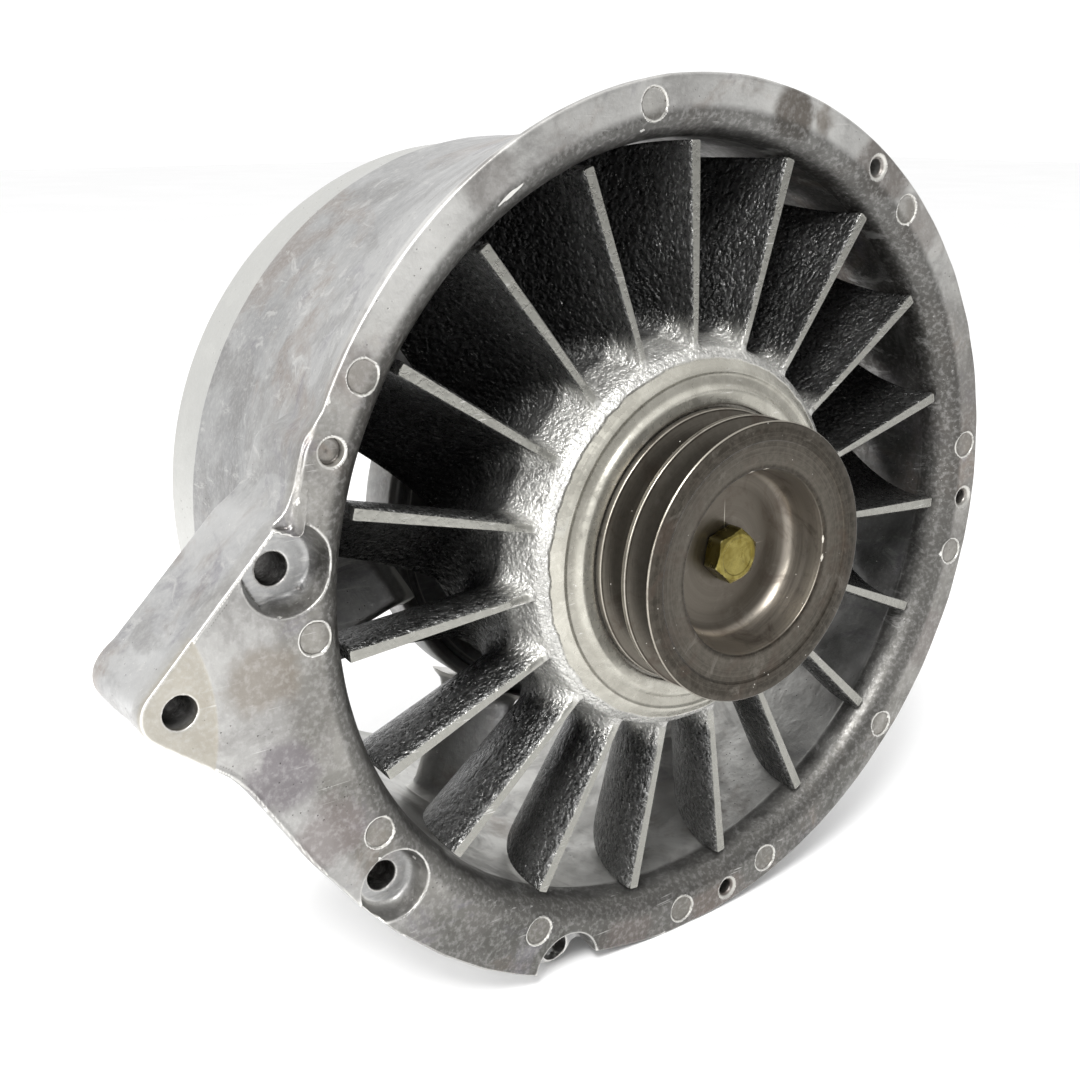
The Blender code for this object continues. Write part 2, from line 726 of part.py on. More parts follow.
def make_cap(look):
    edge = 0.001
    profile = [
        (CAP_SPIGOT_RADIUS, CAP_SPIGOT_Y),
        (CAP_SPIGOT_RADIUS, CAP_SEAT_Y),
        (BOSS_RADIUS, CAP_SEAT_Y),
        (BOSS_RADIUS, CAP_FLANGE_Y - edge),
        (BOSS_RADIUS - edge, CAP_FLANGE_Y),
        (CAP_FACE_RADIUS + 0.003, CAP_FLANGE_Y),
        (CAP_FACE_RADIUS + edge, -edge),
        (CAP_FACE_RADIUS, 0),
        (0, 0),
        (0, CAP_FLOOR_Y),
        (CAP_BORE, CAP_FLOOR_Y),
        (CAP_BORE, CAP_SPIGOT_Y),
    ]
    cap = turned("rear_cap", profile, look, 32)
    drill_for_screws(cap, CAP_SEAT_Y - 0.002, CAP_FLANGE_Y + 0.002)
    return cap


def make_cap_screw(index, x, z, look):
    seat_y = CAP_FLANGE_Y + GAP
    head = bmesh.new()
    add_prism(head, circle(0, 0, SCREW_ACROSS_FLATS / math.sqrt(3), 6), seat_y, seat_y + SCREW_HEAD_HEIGHT)
    screw = finish(f"rear_cap_screw_{index}", head, look)
    shank = bmesh.new()
    add_prism(shank, circle(0, 0, SCREW_RADIUS, 8), SCREW_END_Y, seat_y + 0.002)
    thread = finish(f"rear_cap_screw_{index}_shank", shank)
    combine(screw, thread, "UNION")
    for piece in (screw, thread):
        piece.location = (x, 0, z)


def main():
    for piece in list(bpy.data.objects):
        bpy.data.objects.remove(piece)
    cast = material("cast_aluminium", (0.42, 0.41, 0.40), 0.45, 0.85)
    blade_cast = material("impeller_aluminium", (0.36, 0.36, 0.35), 0.40, 0.90)
    iron = material("turned_iron", (0.17, 0.155, 0.14), 0.42, 0.85)
    zinc = material("yellow_zinc", (0.55, 0.46, 0.20), 0.30, 0.90)
    steel = material("steel", (0.50, 0.50, 0.51), 0.30, 1.00)
    bronze = material("cage_bronze", (0.48, 0.33, 0.16), 0.40, 0.90)
    rubber = material("rubber", (0.03, 0.03, 0.03), 0.70, 0.00)
    paper = material("gasket_paper", (0.12, 0.10, 0.08), 0.85, 0.00)
    bore = SHAFT_RADIUS + GAP
    edge = BEARING_RADIUS - GAP

    make_housing(cast)
    make_vane_hub(cast)
    rotor = [make_impeller(blade_cast), make_pulley(iron), make_bolt(zinc), make_shaft(steel)]
    rotor.append(key_block("hub_key", SHAFT_FRONT_Y, KEY_END_Y, 0, steel))
    for place in BEARING_YS:
        rotor.append(make_bearing(place, steel, bronze))

    spacer_start = BEARING_YS["front"] + BEARING_WIDTH + GAP
    spacer_end = BEARING_YS["rear"] - GAP
    rotor.append(sleeve("inner_spacer", bore, INNER_SPACER_RADIUS, spacer_start, spacer_end, steel))
    sleeve("outer_spacer", OUTER_SPACER_BORE, edge, spacer_start, spacer_end, steel)

    sleeve("front_shaft_seal", SEAL_BORE, edge, BOSS_FRONT_Y, SEAL_END_Y, rubber)
    ring_start = RING_GROOVE_Y + GAP / 2
    ring_end = ring_start + RING_GROOVE_WIDTH - GAP
    ring_edge = BEARING_RADIUS + RING_GROOVE_DEPTH - GAP
    sleeve("bearing_retaining_ring", RING_BORE, ring_edge, ring_start, ring_end, steel)

    washer_start = BEARING_YS["rear"] + BEARING_WIDTH + GAP
    washer_end = washer_start + WASHER_THICKNESS
    rotor.append(sleeve("lock_washer", bore, WASHER_RADIUS, washer_start, washer_end, steel))
    rotor.append(make_lock_nut(washer_end + GAP, steel))
    ride(axis_empty("rotor_axis", 0), rotor)

    gasket_start = BOSS_REAR_Y + GAP
    gasket_end = gasket_start + GASKET_THICKNESS
    gasket = sleeve("rear_gasket", GASKET_BORE, BOSS_RADIUS, gasket_start, gasket_end, paper, 32)
    drill_for_screws(gasket, gasket_start - 0.001, gasket_end + 0.001)
    make_cap(cast)
    for index, (x, z) in enumerate(screw_places(), 1):
        make_cap_screw(index, x, z, zinc)


main()
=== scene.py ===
"""Looks for the axial cooling blower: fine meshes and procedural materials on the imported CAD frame.

Lengths inside the shape functions are millimetres. A depth is measured along +Y from the duct's front
rim, so 0 is the rim's face and positive values lie behind it. Scene units are metres.
"""

import json
import math

import bmesh
import bpy
import numpy as np
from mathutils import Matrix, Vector

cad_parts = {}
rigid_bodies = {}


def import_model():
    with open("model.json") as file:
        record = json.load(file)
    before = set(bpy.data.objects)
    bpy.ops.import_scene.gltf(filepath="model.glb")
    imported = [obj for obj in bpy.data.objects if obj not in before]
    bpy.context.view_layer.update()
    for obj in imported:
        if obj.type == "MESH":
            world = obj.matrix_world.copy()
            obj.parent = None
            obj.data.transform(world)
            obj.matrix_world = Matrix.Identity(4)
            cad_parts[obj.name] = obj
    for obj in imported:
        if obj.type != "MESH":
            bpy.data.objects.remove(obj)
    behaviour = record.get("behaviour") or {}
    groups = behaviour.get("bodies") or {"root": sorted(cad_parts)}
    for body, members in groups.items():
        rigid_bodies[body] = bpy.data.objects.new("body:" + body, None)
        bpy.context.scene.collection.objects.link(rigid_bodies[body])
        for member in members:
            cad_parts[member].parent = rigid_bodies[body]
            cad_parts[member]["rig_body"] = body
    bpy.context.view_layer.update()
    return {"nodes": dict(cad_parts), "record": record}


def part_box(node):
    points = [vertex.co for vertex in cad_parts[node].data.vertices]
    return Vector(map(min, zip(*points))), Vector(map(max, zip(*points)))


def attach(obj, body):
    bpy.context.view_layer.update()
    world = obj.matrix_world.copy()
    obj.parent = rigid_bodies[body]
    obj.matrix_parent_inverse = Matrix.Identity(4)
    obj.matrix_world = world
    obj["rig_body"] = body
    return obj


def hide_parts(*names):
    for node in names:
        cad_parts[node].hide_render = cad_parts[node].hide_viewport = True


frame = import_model()

MM = 0.001
RIM_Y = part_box("fan_housing")[0].y
RIM_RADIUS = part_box("fan_housing")[1].z / MM
DUCT_DEPTH = -RIM_Y / MM
REST_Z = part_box("fan_housing")[0].z


# ---------------------------------------------------------------- mesh helpers


def polar(radius, degrees):
    angle = math.radians(degrees)
    return radius * math.cos(angle), radius * math.sin(angle)


def to_world(points):
    """(x, depth, z) in millimetres to scene metres."""
    placed = np.array(points, dtype=np.float64) * MM
    placed[:, 1] += RIM_Y
    return placed


def make_object(name, points, faces, smooth_deg=40):
    mesh = bpy.data.meshes.new(name)
    mesh.from_pydata(to_world(points).tolist(), [], faces)
    mesh.update()
    mesh.shade_smooth()
    if smooth_deg:
        mesh.set_sharp_from_angle(angle=math.radians(smooth_deg))
    piece = bpy.data.objects.new(name, mesh)
    bpy.context.scene.collection.objects.link(piece)
    return piece


def face_outwards(piece):
    shape = bmesh.new()
    shape.from_mesh(piece.data)
    bmesh.ops.recalc_face_normals(shape, faces=shape.faces)
    shape.to_mesh(piece.data)
    shape.free()
    return piece


def round_corners(profile, radius, steps=3, closed=True):
    """Cuts each corner of a (u, v) line with a small arc.

    A point given as (u, v, own_radius) keeps its own radius.
    """
    result = []
    count = len(profile)
    for i, corner in enumerate(profile):
        here = Vector(corner[:2])
        size = corner[2] if len(corner) > 2 else radius
        if size <= 0 or (not closed and i in (0, count - 1)):
            result.append(tuple(here))
            continue
        before = Vector(profile[i - 1][:2]) - here
        after = Vector(profile[(i + 1) % count][:2]) - here
        reach = min(size, before.length * 0.45, after.length * 0.45)
        start = here + before.normalized() * reach
        end = here + after.normalized() * reach
        for step in range(steps + 1):
            share = step / steps
            point = start * (1 - share) ** 2 + here * 2 * share * (1 - share) + end * share**2
            result.append((point.x, point.y))
    return result


def lathe_points(profile, segments, start_deg=0):
    points = []
    for radius, depth in profile:
        for i in range(segments):
            x, z = polar(radius, start_deg + 360 * i / segments)
            points.append((x, depth, z))
    return points


def lathe_faces(rows, segments, closed=True, offset=0):
    faces = []
    for row in range(rows if closed else rows - 1):
        after = (row + 1) % rows
        for i in range(segments):
            j = (i + 1) % segments
            faces.append(
                (
                    offset + row * segments + i,
                    offset + row * segments + j,
                    offset + after * segments + j,
                    offset + after * segments + i,
                )
            )
    return faces


def lathe(name, profile, segments=192, smooth_deg=35):
    """A closed (radius, depth) profile turned about the rotor's axis."""
    points = lathe_points(profile, segments)
    piece = make_object(name, points, lathe_faces(len(profile), segments), None)
    face_outwards(piece)
    piece.data.set_sharp_from_angle(angle=math.radians(smooth_deg))
    return piece


def loft_faces(rings, size, offset=0, caps=True):
    faces = []
    for row in range(rings - 1):
        for i in range(size):
            j = (i + 1) % size
            a = offset + row * size
            b = a + size
            faces.append((a + i, a + j, b + j, b + i))
    if caps:
        faces.append(tuple(offset + i for i in reversed(range(size))))
        faces.append(tuple(offset + (rings - 1) * size + i for i in range(size)))
    return faces


def apply_boolean(piece, other, operation):
    change = piece.modifiers.new("join", "BOOLEAN")
    change.operation = operation
    change.solver = "EXACT"
    change.object = other
    graph = bpy.context.evaluated_depsgraph_get()
    mesh = bpy.data.meshes.new_from_object(piece.evaluated_get(graph))
    piece.modifiers.clear()
    piece.data = mesh
    bpy.data.objects.remove(other)
    return piece


# ---------------------------------------------------------------- distance fields


def smooth_min(a, b, size):
    share = np.maximum(size - np.abs(a - b), 0) / size
    return np.minimum(a, b) - share * share * size / 4


def smooth_max(a, b, size):
    return -smooth_min(-a, -b, size)


def outline_distance(x, z, outline):
    """Signed distance to a closed (x, z) outline, negative inside."""
    nearest = np.full(x.shape, 1e9, np.float32)
    inside = np.zeros(x.shape, bool)
    for (ax, az), (bx, bz) in zip(outline, outline[1:] + outline[:1]):
        ex, ez = bx - ax, bz - az
        share = np.clip(((x - ax) * ex + (z - az) * ez) / (ex * ex + ez * ez), 0, 1)
        dx = x - ax - ex * share
        dz = z - az - ez * share
        nearest = np.minimum(nearest, dx * dx + dz * dz)
        if az != bz:
            inside ^= ((az <= z) != (bz <= z)) & (x < ax + (z - az) * ex / ez)
    return np.where(inside, -1, 1) * np.sqrt(nearest)


def surface_of(values, angles, radii, depths):
    """The zero surface of a field on a (angle, radius, depth) grid that closes on itself in angle."""
    count = len(angles)
    inside = values < 0
    total = np.zeros((count, len(radii) - 1, len(depths) - 1), np.int8)
    for turn in (inside, np.roll(inside, -1, axis=0)):
        for j in (0, 1):
            for k in (0, 1):
                total += turn[:, j : j + total.shape[1], k : k + total.shape[2]]
    active = (total > 0) & (total < 8)
    cell = np.nonzero(active)
    corners = {}
    for di in (0, 1):
        for dj in (0, 1):
            for dk in (0, 1):
                corners[di, dj, dk] = values[(cell[0] + di) % count, cell[1] + dj, cell[2] + dk]
    place = np.zeros((len(cell[0]), 3))
    hits = np.zeros(len(cell[0]))
    for start, first in corners.items():
        for axis in range(3):
            if start[axis]:
                continue
            end = list(start)
            end[axis] = 1
            second = corners[tuple(end)]
            crossing = (first < 0) != (second < 0)
            share = np.where(crossing, first / np.where(crossing, first - second, 1), 0)
            for d in range(3):
                along = share if d == axis else start[d]
                place[:, d] += np.where(crossing, along, 0)
            hits += crossing
    place /= hits[:, None]
    steps = np.arange(count + 1)
    angle = np.radians(np.interp(cell[0] + place[:, 0], steps, np.append(angles, angles[0] + 360)))
    radius = np.interp(cell[1] + place[:, 1], np.arange(len(radii)), radii)
    depth = np.interp(cell[2] + place[:, 2], np.arange(len(depths)), depths)
    points = np.stack([radius * np.cos(angle), depth, radius * np.sin(angle)], axis=1)

    number = np.full(active.shape, -1, np.int32)
    number[active] = np.arange(len(cell[0]))
    faces = []
    for axis in range(3):
        other = np.roll(inside, -1, axis=0) if axis == 0 else inside
        slices = [slice(None), slice(1, -1), slice(1, -1)]
        ahead = list(slices)
        if axis:
            slices[axis] = slice(0, -1)
            ahead[axis] = slice(1, None)
        low = inside[tuple(slices)]
        high = other[tuple(ahead)]
        i, j, k = np.nonzero(low != high)
        flip = ~low[i, j, k]
        j = j + (0 if axis == 1 else 1)
        k = k + (0 if axis == 2 else 1)
        b, c = (axis + 1) % 3, (axis + 2) % 3
        quad = []
        for db, dc in ((-1, -1), (0, -1), (0, 0), (-1, 0)):
            shift = [0, 0, 0]
            shift[b], shift[c] = db, dc
            quad.append(number[(i + shift[0]) % count, j + shift[1], k + shift[2]])
        quad = np.stack(quad, axis=1)
        quad[flip] = quad[flip][:, ::-1]
        faces.append(quad)
    return points, np.concatenate(faces)


# ---------------------------------------------------------------- duct and lug

FACE_INNER = 163.5
LIP_DEPTH = 14.0
BORE = 152.8
BORE_TAPER = 55.0
BORE_END = 143.0
WALL_END = 151.4
WALL_FLARE = 2.1
REGISTER_START = 137.0
REGISTER = 148.0
LUG_DEPTH = 45.0
LUG_DRAFT = 3.0
LUG_SECTOR = (146.0, 257.0)
TIP_CENTRE = (-215.5, -16.5)
BOLT_HOLE = 5.7
BOLT_HOLES = ((-175.5, 20.8), (-213.1, -16.3), (-140.2, -103.8), (-61.5, -165.5))
# Bolt seats: centre, radius at the mouth, radius at the floor, depth
BOLT_SEATS = (
    ((-174.4, 22.6), 15.7, 11.9, 10.0),
    ((-139.6, -103.9), 13.8, 11.2, 9.0),
    ((-61.8, -170.3), 15.2, 13.8, 9.0),
)
PIN_MARKS = (99.1, 47.7, 5.4, 347.8, 317.3, 287.3, 270.0, 242.8, 209.0, 180.8, 150.6)
PIN_MARK_CIRCLE = 166.0
PIN_MARK = 5.8
PIN_MARK_DEPTH = 0.6
GUARD_HOLES = (56.7, 159.5, 279.1, 356.7)
GUARD_CIRCLE = 167.5
# The upper seat runs out into the block's corner and stops this far inside the block's edge
SEAT_CORNER = [(-178.3, 37.3), (-168.9, 33.3), (-163.5, 27.0), (-166.0, 12.0), (-182.0, 9.0), (-190.0, 25.0)]
SEAT_WALL = 1.3
# The milled pad at the lug's tip is part of a wide disc
PAD_CENTRE = (-273, -22)
PAD_RADIUS = 71.5


def spread(stops):
    """Grid lines through (start, step) pairs; the last pair gives only the end."""
    lines = []
    for (start, step), (end, _) in zip(stops, stops[1:]):
        pieces = max(1, round((end - start) / step))
        lines += list(np.linspace(start, end, pieces, endpoint=False))
    return np.array(lines + [stops[-1][0]])


def grid_angles(fine, coarse):
    """Angles in degrees, close together over the lug, the pin marks and the guard holes."""
    busy = [LUG_SECTOR]
    busy += [(mark - 2.5, mark + 2.5) for mark in PIN_MARKS + GUARD_HOLES]
    angles = []
    angle = 0.0
    while angle < 360 - fine / 2:
        angles.append(angle)
        near = any(low - coarse < (angle + turn) < high for low, high in busy for turn in (0, 360, -360))
        angle += fine if near else coarse
    return np.array(angles)


def lug_outlines():
    """(face, body front, body rear) outlines. The face layer leaves a ledge in front of the body."""
    tip = []
    for degrees in range(135, 240, 12):
        x, z = polar(10.3, degrees)
        tip.append((TIP_CENTRE[0] + x, TIP_CENTRE[1] + z, 0))
    lower = [(-198.0, -43.5), (-192.5, -50.0), (-170.7, -85.0), (-152.0, -109.7), (-139.4, -123.8)]
    foot = [(-120.7, -140.8), (-102.2, -154.7), (-84.1, -165.0), (-70.0, -171.2), (-61.5, -173.2)]
    end = [(-55.0, -170.0), (-52.0, -160.0), (-46.0, -140.0)]
    inner = [(-90.0, -110.0), (-130.0, -60.0), (-145.0, 0.0), (-140.0, 50.0)]
    face = [(-158.0, 66.0), (-164.8, 60.6), (-167.9, 41.9), (-168.9, 33.3), (-178.3, 37.3, 1.0)]
    body = [(-158.0, 70.0), (-165.6, 63.4), (-169.3, 49.0), (-173.3, 40.8), (-178.3, 37.3, 1.0)]
    rear = [(-152.0, 62.0), (-162.5, 58.0), (-166.7, 46.0), (-169.6, 41.6), (-174.0, 37.8)]
    rear.append((-179.3, 34.3, 1.5))
    drawn = [(x * (1 - LUG_DRAFT / 175), z * (1 - LUG_DRAFT / 175)) for x, z in lower[2:] + foot + end]
    outlines = []
    for top, below in ((face, lower + foot + end), (body, lower + foot + end), (rear, lower[:2] + drawn)):
        outlines.append(round_corners(top + tip + below + inner, 2.5))
    return outlines


def duct_field(radii, depths):
    """The duct alone on the (radius, depth) plane: (outer surface, bore with its rounded lip)."""
    r = radii[:, None]
    t = depths[None, :]
    share = np.clip((t - 2) / (REGISTER_START - 2), 0, 1)
    wall_radius = WALL_END + (RIM_RADIUS - WALL_END) * (1 - share) ** WALL_FLARE
    slope = (RIM_RADIUS - WALL_END) * WALL_FLARE * (1 - share) ** (WALL_FLARE - 1) / REGISTER_START
    wall = (r - wall_radius) / np.sqrt(1 + slope**2)
    wall = smooth_max(wall, t - REGISTER_START, 1.2)
    register = smooth_max(r - REGISTER, t - DUCT_DEPTH + 0.2, 1.6)
    outer = smooth_min(wall, register, 0.8)

    width = FACE_INNER - BORE
    across = (FACE_INNER - r) / width
    along = (LIP_DEPTH - t) / LIP_DEPTH
    reach = np.sqrt(across**2 + along**2) + 1e-6
    grade = np.sqrt((across / width) ** 2 + (along / LIP_DEPTH) ** 2) / reach
    lip = (reach - 1) / np.maximum(grade, 1e-3)
    bore_radius = np.interp(depths, (0, BORE_TAPER, DUCT_DEPTH), (BORE, BORE, BORE_END))[None, :]
    seam = 0.25 * np.exp(-(((t - LIP_DEPTH) / 0.5) ** 2))
    bore = bore_radius - seam - r
    flat = np.broadcast_to(-t, lip.shape)
    inner = np.where(t >= LIP_DEPTH, bore, np.where(r >= FACE_INNER, flat, lip))
    return outer, inner


def housing_values(angles, radii, depths):
    outer, inner = duct_field(radii, depths)
    values = np.repeat(smooth_max(outer, inner, 1.3)[None].astype(np.float32), len(angles), axis=0)
    t = depths[None, None, :].astype(np.float32)
    turn = np.radians(angles)[:, None]
    x = (radii[None, :] * np.cos(turn)).astype(np.float32)
    z = (radii[None, :] * np.sin(turn)).astype(np.float32)

    lug = np.nonzero((angles > LUG_SECTOR[0]) & (angles < LUG_SECTOR[1]))[0]
    lug = slice(lug[0], lug[-1] + 1)
    face, body, rear = (outline_distance(x[lug], z[lug], line)[:, :, None] for line in lug_outlines())
    share = np.clip(t / LUG_DEPTH, 0, 1)
    front_layer = smooth_max(face, t - 8, 1.0)
    block = body + (rear - body) * share
    block = smooth_max(block, 2.6 - t, 0.8)
    block = smooth_max(smooth_min(block, front_layer, 0.7), t - LUG_DEPTH, 2.4)
    boss = np.hypot(x[lug] - TIP_CENTRE[0] - 1.6, z[lug] - TIP_CENTRE[1])[:, :, None] - 11.2
    boss = smooth_max(smooth_max(boss, t - LUG_DEPTH, 2.0), 24 - t, 5.0)
    block = smooth_min(block, boss, 2.0)
    solid = smooth_min(np.broadcast_to(outer[None].astype(np.float32), block.shape), block, 5.0)
    solid = smooth_max(solid, np.broadcast_to(inner[None], solid.shape).astype(np.float32), 1.1)
    skin = np.exp(-((t / 1.5) ** 2)) * (x[lug][:, :, None] < -166)
    bead = 0.28 * np.exp(-(((face + 0.9) / 0.6) ** 2)) - 0.22 * np.exp(-(((face + 2.5) / 0.6) ** 2))
    values[lug] = solid - bead * skin

    def near(cx, cz, reach):
        """The grid columns within reach of a point."""
        middle = math.degrees(math.atan2(cz, cx)) % 360
        span = math.degrees(reach / math.hypot(cx, cz)) + 0.3
        off = (angles - middle + 180) % 360 - 180
        return np.nonzero(np.abs(off) < span)[0]

    for degrees in PIN_MARKS:
        cx, cz = polar(PIN_MARK_CIRCLE, degrees)
        at = near(cx, cz, 9)
        gap = np.hypot(x[at] - cx, z[at] - cz)[:, :, None] - PIN_MARK
        disc = smooth_max(smooth_max(gap, PIN_MARK_DEPTH - t, 0.5), t - 6, 0.5)
        hollow = smooth_max(gap, t - PIN_MARK_DEPTH, 0.3)
        burr = 0.32 * np.exp(-(((gap - 0.35) / 0.4) ** 2)) * np.exp(-((t / 2.5) ** 2))
        values[at] = smooth_min(smooth_max(values[at] - burr, -hollow, 0.4), disc, 0.3)
    for degrees in GUARD_HOLES:
        cx, cz = polar(GUARD_CIRCLE, degrees)
        at = near(cx, cz, 9)
        away = np.hypot(x[at] - cx, z[at] - cz)[:, :, None]
        wide = degrees == GUARD_HOLES[1]
        hole = smooth_max(away - (4.6 if wide else 3.2), t - (4.0 if wide else 14.0), 0.8)
        chamfer = away - 4.7 + t
        burr = 0.30 * np.exp(-(((away - 5.4) / 0.45) ** 2)) * np.exp(-((t / 2.5) ** 2))
        values[at] = smooth_max(values[at] - burr, -smooth_min(hole, chamfer, 0.4), 0.5)
    for number, ((cx, cz), mouth, floor, deep) in enumerate(BOLT_SEATS):
        at = near(cx, cz, 20)
        away = np.hypot(x[at] - cx, z[at] - cz)[:, :, None]
        cone = away - mouth - (floor - mouth) * t / deep
        if number == 0:
            corner = outline_distance(x[at], z[at], SEAT_CORNER)[:, :, None]
            cone = smooth_max(np.minimum(cone, corner), face[at - lug.start] + SEAT_WALL, 0.6)
        seat = smooth_max(cone * 0.95, t - deep, 1.8)
        burr = 0.25 * np.exp(-((cone / 0.8) ** 2)) * np.exp(-((t / 2.0) ** 2))
        values[at] = smooth_max(values[at] - burr, -seat, 0.9)
    for cx, cz in BOLT_HOLES:
        at = near(cx, cz, 9)
        away = np.hypot(x[at] - cx, z[at] - cz)[:, :, None]
        values[at] = smooth_max(values[at], BOLT_HOLE - away, 0.8)
    at = near(-205, -15, 34)
    milled = np.hypot(x[at] - PAD_CENTRE[0], z[at] - PAD_CENTRE[1])[:, :, None] - PAD_RADIUS
    values[at] = smooth_max(values[at], -smooth_max(milled, t - 0.30, 0.2), 0.3)

    waves = np.zeros(x.shape, np.float32)
    for kx, kz, size in ((0.19, 0.11, 0.05), (-0.13, 0.23, 0.05), (0.37, -0.31, 0.025), (0.29, 0.41, 0.02)):
        waves += size * np.sin(kx * x + kz * z + 7 * kx)
    return values + waves[:, :, None] * np.cos(0.12 * t + 0.02 * x[:, :, None])


def make_housing():
    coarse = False
    fine = 0.5 if coarse else 0.24
    angles = grid_angles(fine, 1.2)
    step = 1.2 if coarse else 0.58
    radii = spread(((140.6, 1.1), (151, step), (181, step * 1.25), (228.5, 0)))
    front = ((-1.05, 0.3), (2.25, step), (16, 1.4), (42, 0.9), (47, 3.5))
    depths = spread(front + ((134, 0.6), (139.4, 3.5), (164, 0.6), (169.4, 0)))
    values = housing_values(angles, radii, depths)
    points, faces = surface_of(values, angles, radii, depths)
    housing = make_object("duct_casting", points, faces.tolist(), None)
    return housing


# ---------------------------------------------------------------- impeller

BLADE_COUNT = 19
FIRST_BLADE = 109.76
BLADE_TIP = 151.7
TIP_DROP = 12.4
TIP_CURVE_START = 2.2
ROOT_FRONT, TIP_FRONT = 1.8, 5.0
ROOT_REAR, TIP_REAR = 58.4, 62.2
BEND_START, BEND_LENGTH = 3.0, 60.0
BEND = (-13.0, 43.0, 2.5)
BEND_RADIUS, BEND_FADE = 115.0, 0.8
HUB_DEPTHS = (2.0, 19.0, 59.0)
HUB_RADII = (76.5, 80.3, 81.8)
ROOT_FILLET = 8.0


def hub_radius(depth):
    return float(np.interp(depth, HUB_DEPTHS, HUB_RADII))


def tip_radius(depth):
    share = min(1, max(0, depth - TIP_CURVE_START) / (TIP_REAR - TIP_CURVE_START))
    return BLADE_TIP - TIP_DROP * (1 - math.sqrt(1 - share**2))


def blade_ring(span, degrees):
    """One blade's outline at a share of its span, down one side and back up the other."""
    front = ROOT_FRONT + (TIP_FRONT - ROOT_FRONT) * max(0, span)
    rear = ROOT_REAR + (TIP_REAR - ROOT_REAR) * max(0, span) ** 2.5
    front_half = (3.1 + 2.1 * max(0, span) ** 0.8) / 2
    left, right = [], []
    steps = 22
    for i in range(steps + 1):
        part = 0.65 * 0.5 * (1 - math.cos(math.pi * i / steps)) + 0.35 * i / steps
        depth = front + part * (rear - front)
        hub = hub_radius(depth)
        radius = hub + (tip_radius(depth) - hub) * span
        along = (depth - BEND_START) / BEND_LENGTH
        fade = (BEND_RADIUS / radius) ** BEND_FADE
        shift = fade * sum(bend * along**power for power, bend in enumerate(BEND, 1))
        slope = fade * sum(bend * power * along ** (power - 1) for power, bend in enumerate(BEND, 1))
        lean = math.hypot(1, slope / BEND_LENGTH)
        half = front_half + (1.25 - front_half) * min(1, part * 1.5)
        for edge, bend in ((depth - front, 0.6), (rear - depth, 1.2)):
            if edge < bend:
                half -= bend - math.sqrt(max(0, bend**2 - (bend - edge) ** 2))
        fillet = float(np.interp(depth - front, (0, 3, 14, 50), (1.2, 3.0, ROOT_FILLET, ROOT_FILLET)))
        near = min(1, max(0, 1 - (radius - hub) / fillet))
        half += fillet * 0.85 * (1 - math.sqrt(1 - near**2))
        if span > 0.995:
            half -= 0.35
        for side, run in ((1, left), (-1, right)):
            x, z = polar(radius, degrees + math.degrees((shift + side * half * lean) / radius))
            run.append((x, depth, z))
    return left + right[::-1]


def plate_faces(rows, size, offset):
    """Faces of a closed curved plate whose rings run down one side and back up the other."""
    faces = loft_faces(rows, size, offset, caps=False)
    last = offset + (rows - 1) * size
    for i in range(size // 2 - 1):
        j = size - 1 - i
        faces.append((offset + j, offset + j - 1, offset + i + 1, offset + i))
        faces.append((last + i, last + i + 1, last + j - 1, last + j))
    return faces


def make_impeller():
    rear = HUB_DEPTHS[2]
    profile = [
        (15.3, -4.9, 0.3),
        (55.5, -4.9, 0),
        (55.5, -6.2, 0.4),
        (60.2, -6.7, 0.3),
        (61.3, -6.6, 0.5),
        (63.2, -4.6, 0.8),
        (66.8, -3.9, 0.8),
        (68.0, -4.7, 0.4),
        (69.2, -4.1, 0.5),
        (74.6, 0.0, 1.6),
        (HUB_RADII[0], HUB_DEPTHS[0], 0.8),
        (HUB_RADII[1], HUB_DEPTHS[1], 2.5),
        (HUB_RADII[2], rear - 1.0, 0.8),
        (HUB_RADII[2] - 1.2, rear, 0.8),
        (HUB_RADII[2] - 6.0, rear, 0.8),
        (70.0, 12.0, 3.0),
        (62.0, 6.0, 3.0),
        (30.0, 6.0, 3.0),
        (22.0, 10.5, 2.0),
        (22.0, 18.6, 0.6),
        (15.3, 18.6, 0.4),
    ]
    impeller = lathe("impeller_casting", round_corners(profile, 1.0, 4), BLADE_COUNT * 12)
    height = BLADE_TIP - HUB_RADII[0]
    spans = [reach / height for reach in (-3.0, -1.0, 0.2, 0.8, 1.7, 2.9, 4.4, 6.2, 8.2)]
    spans += list(np.linspace(0.16, 0.94, 14)) + [0.97, 0.985, 0.994, 1.0]
    points, faces = [], []
    for i in range(BLADE_COUNT):
        rings = [blade_ring(span, FIRST_BLADE - 360 * i / BLADE_COUNT) for span in spans]
        faces += plate_faces(len(rings), len(rings[0]), len(points))
        points += sum(rings, [])
    blades = face_outwards(make_object("blades", points, faces, None))
    apply_boolean(impeller, blades, "UNION")
    impeller.data.shade_smooth()
    impeller.data.set_sharp_from_angle(angle=math.radians(50))
    return impeller


# ---------------------------------------------------------------- guide vanes

VANE_COUNT = 7
FIRST_VANE = 250.5
VANE_FRONT = 80.0
VANE_REAR = 104.0
VANE_SHIFT = 22.5
VANE_CAMBER = 1.6
VANE_HALF = 2.5
VANE_RING = 91.5


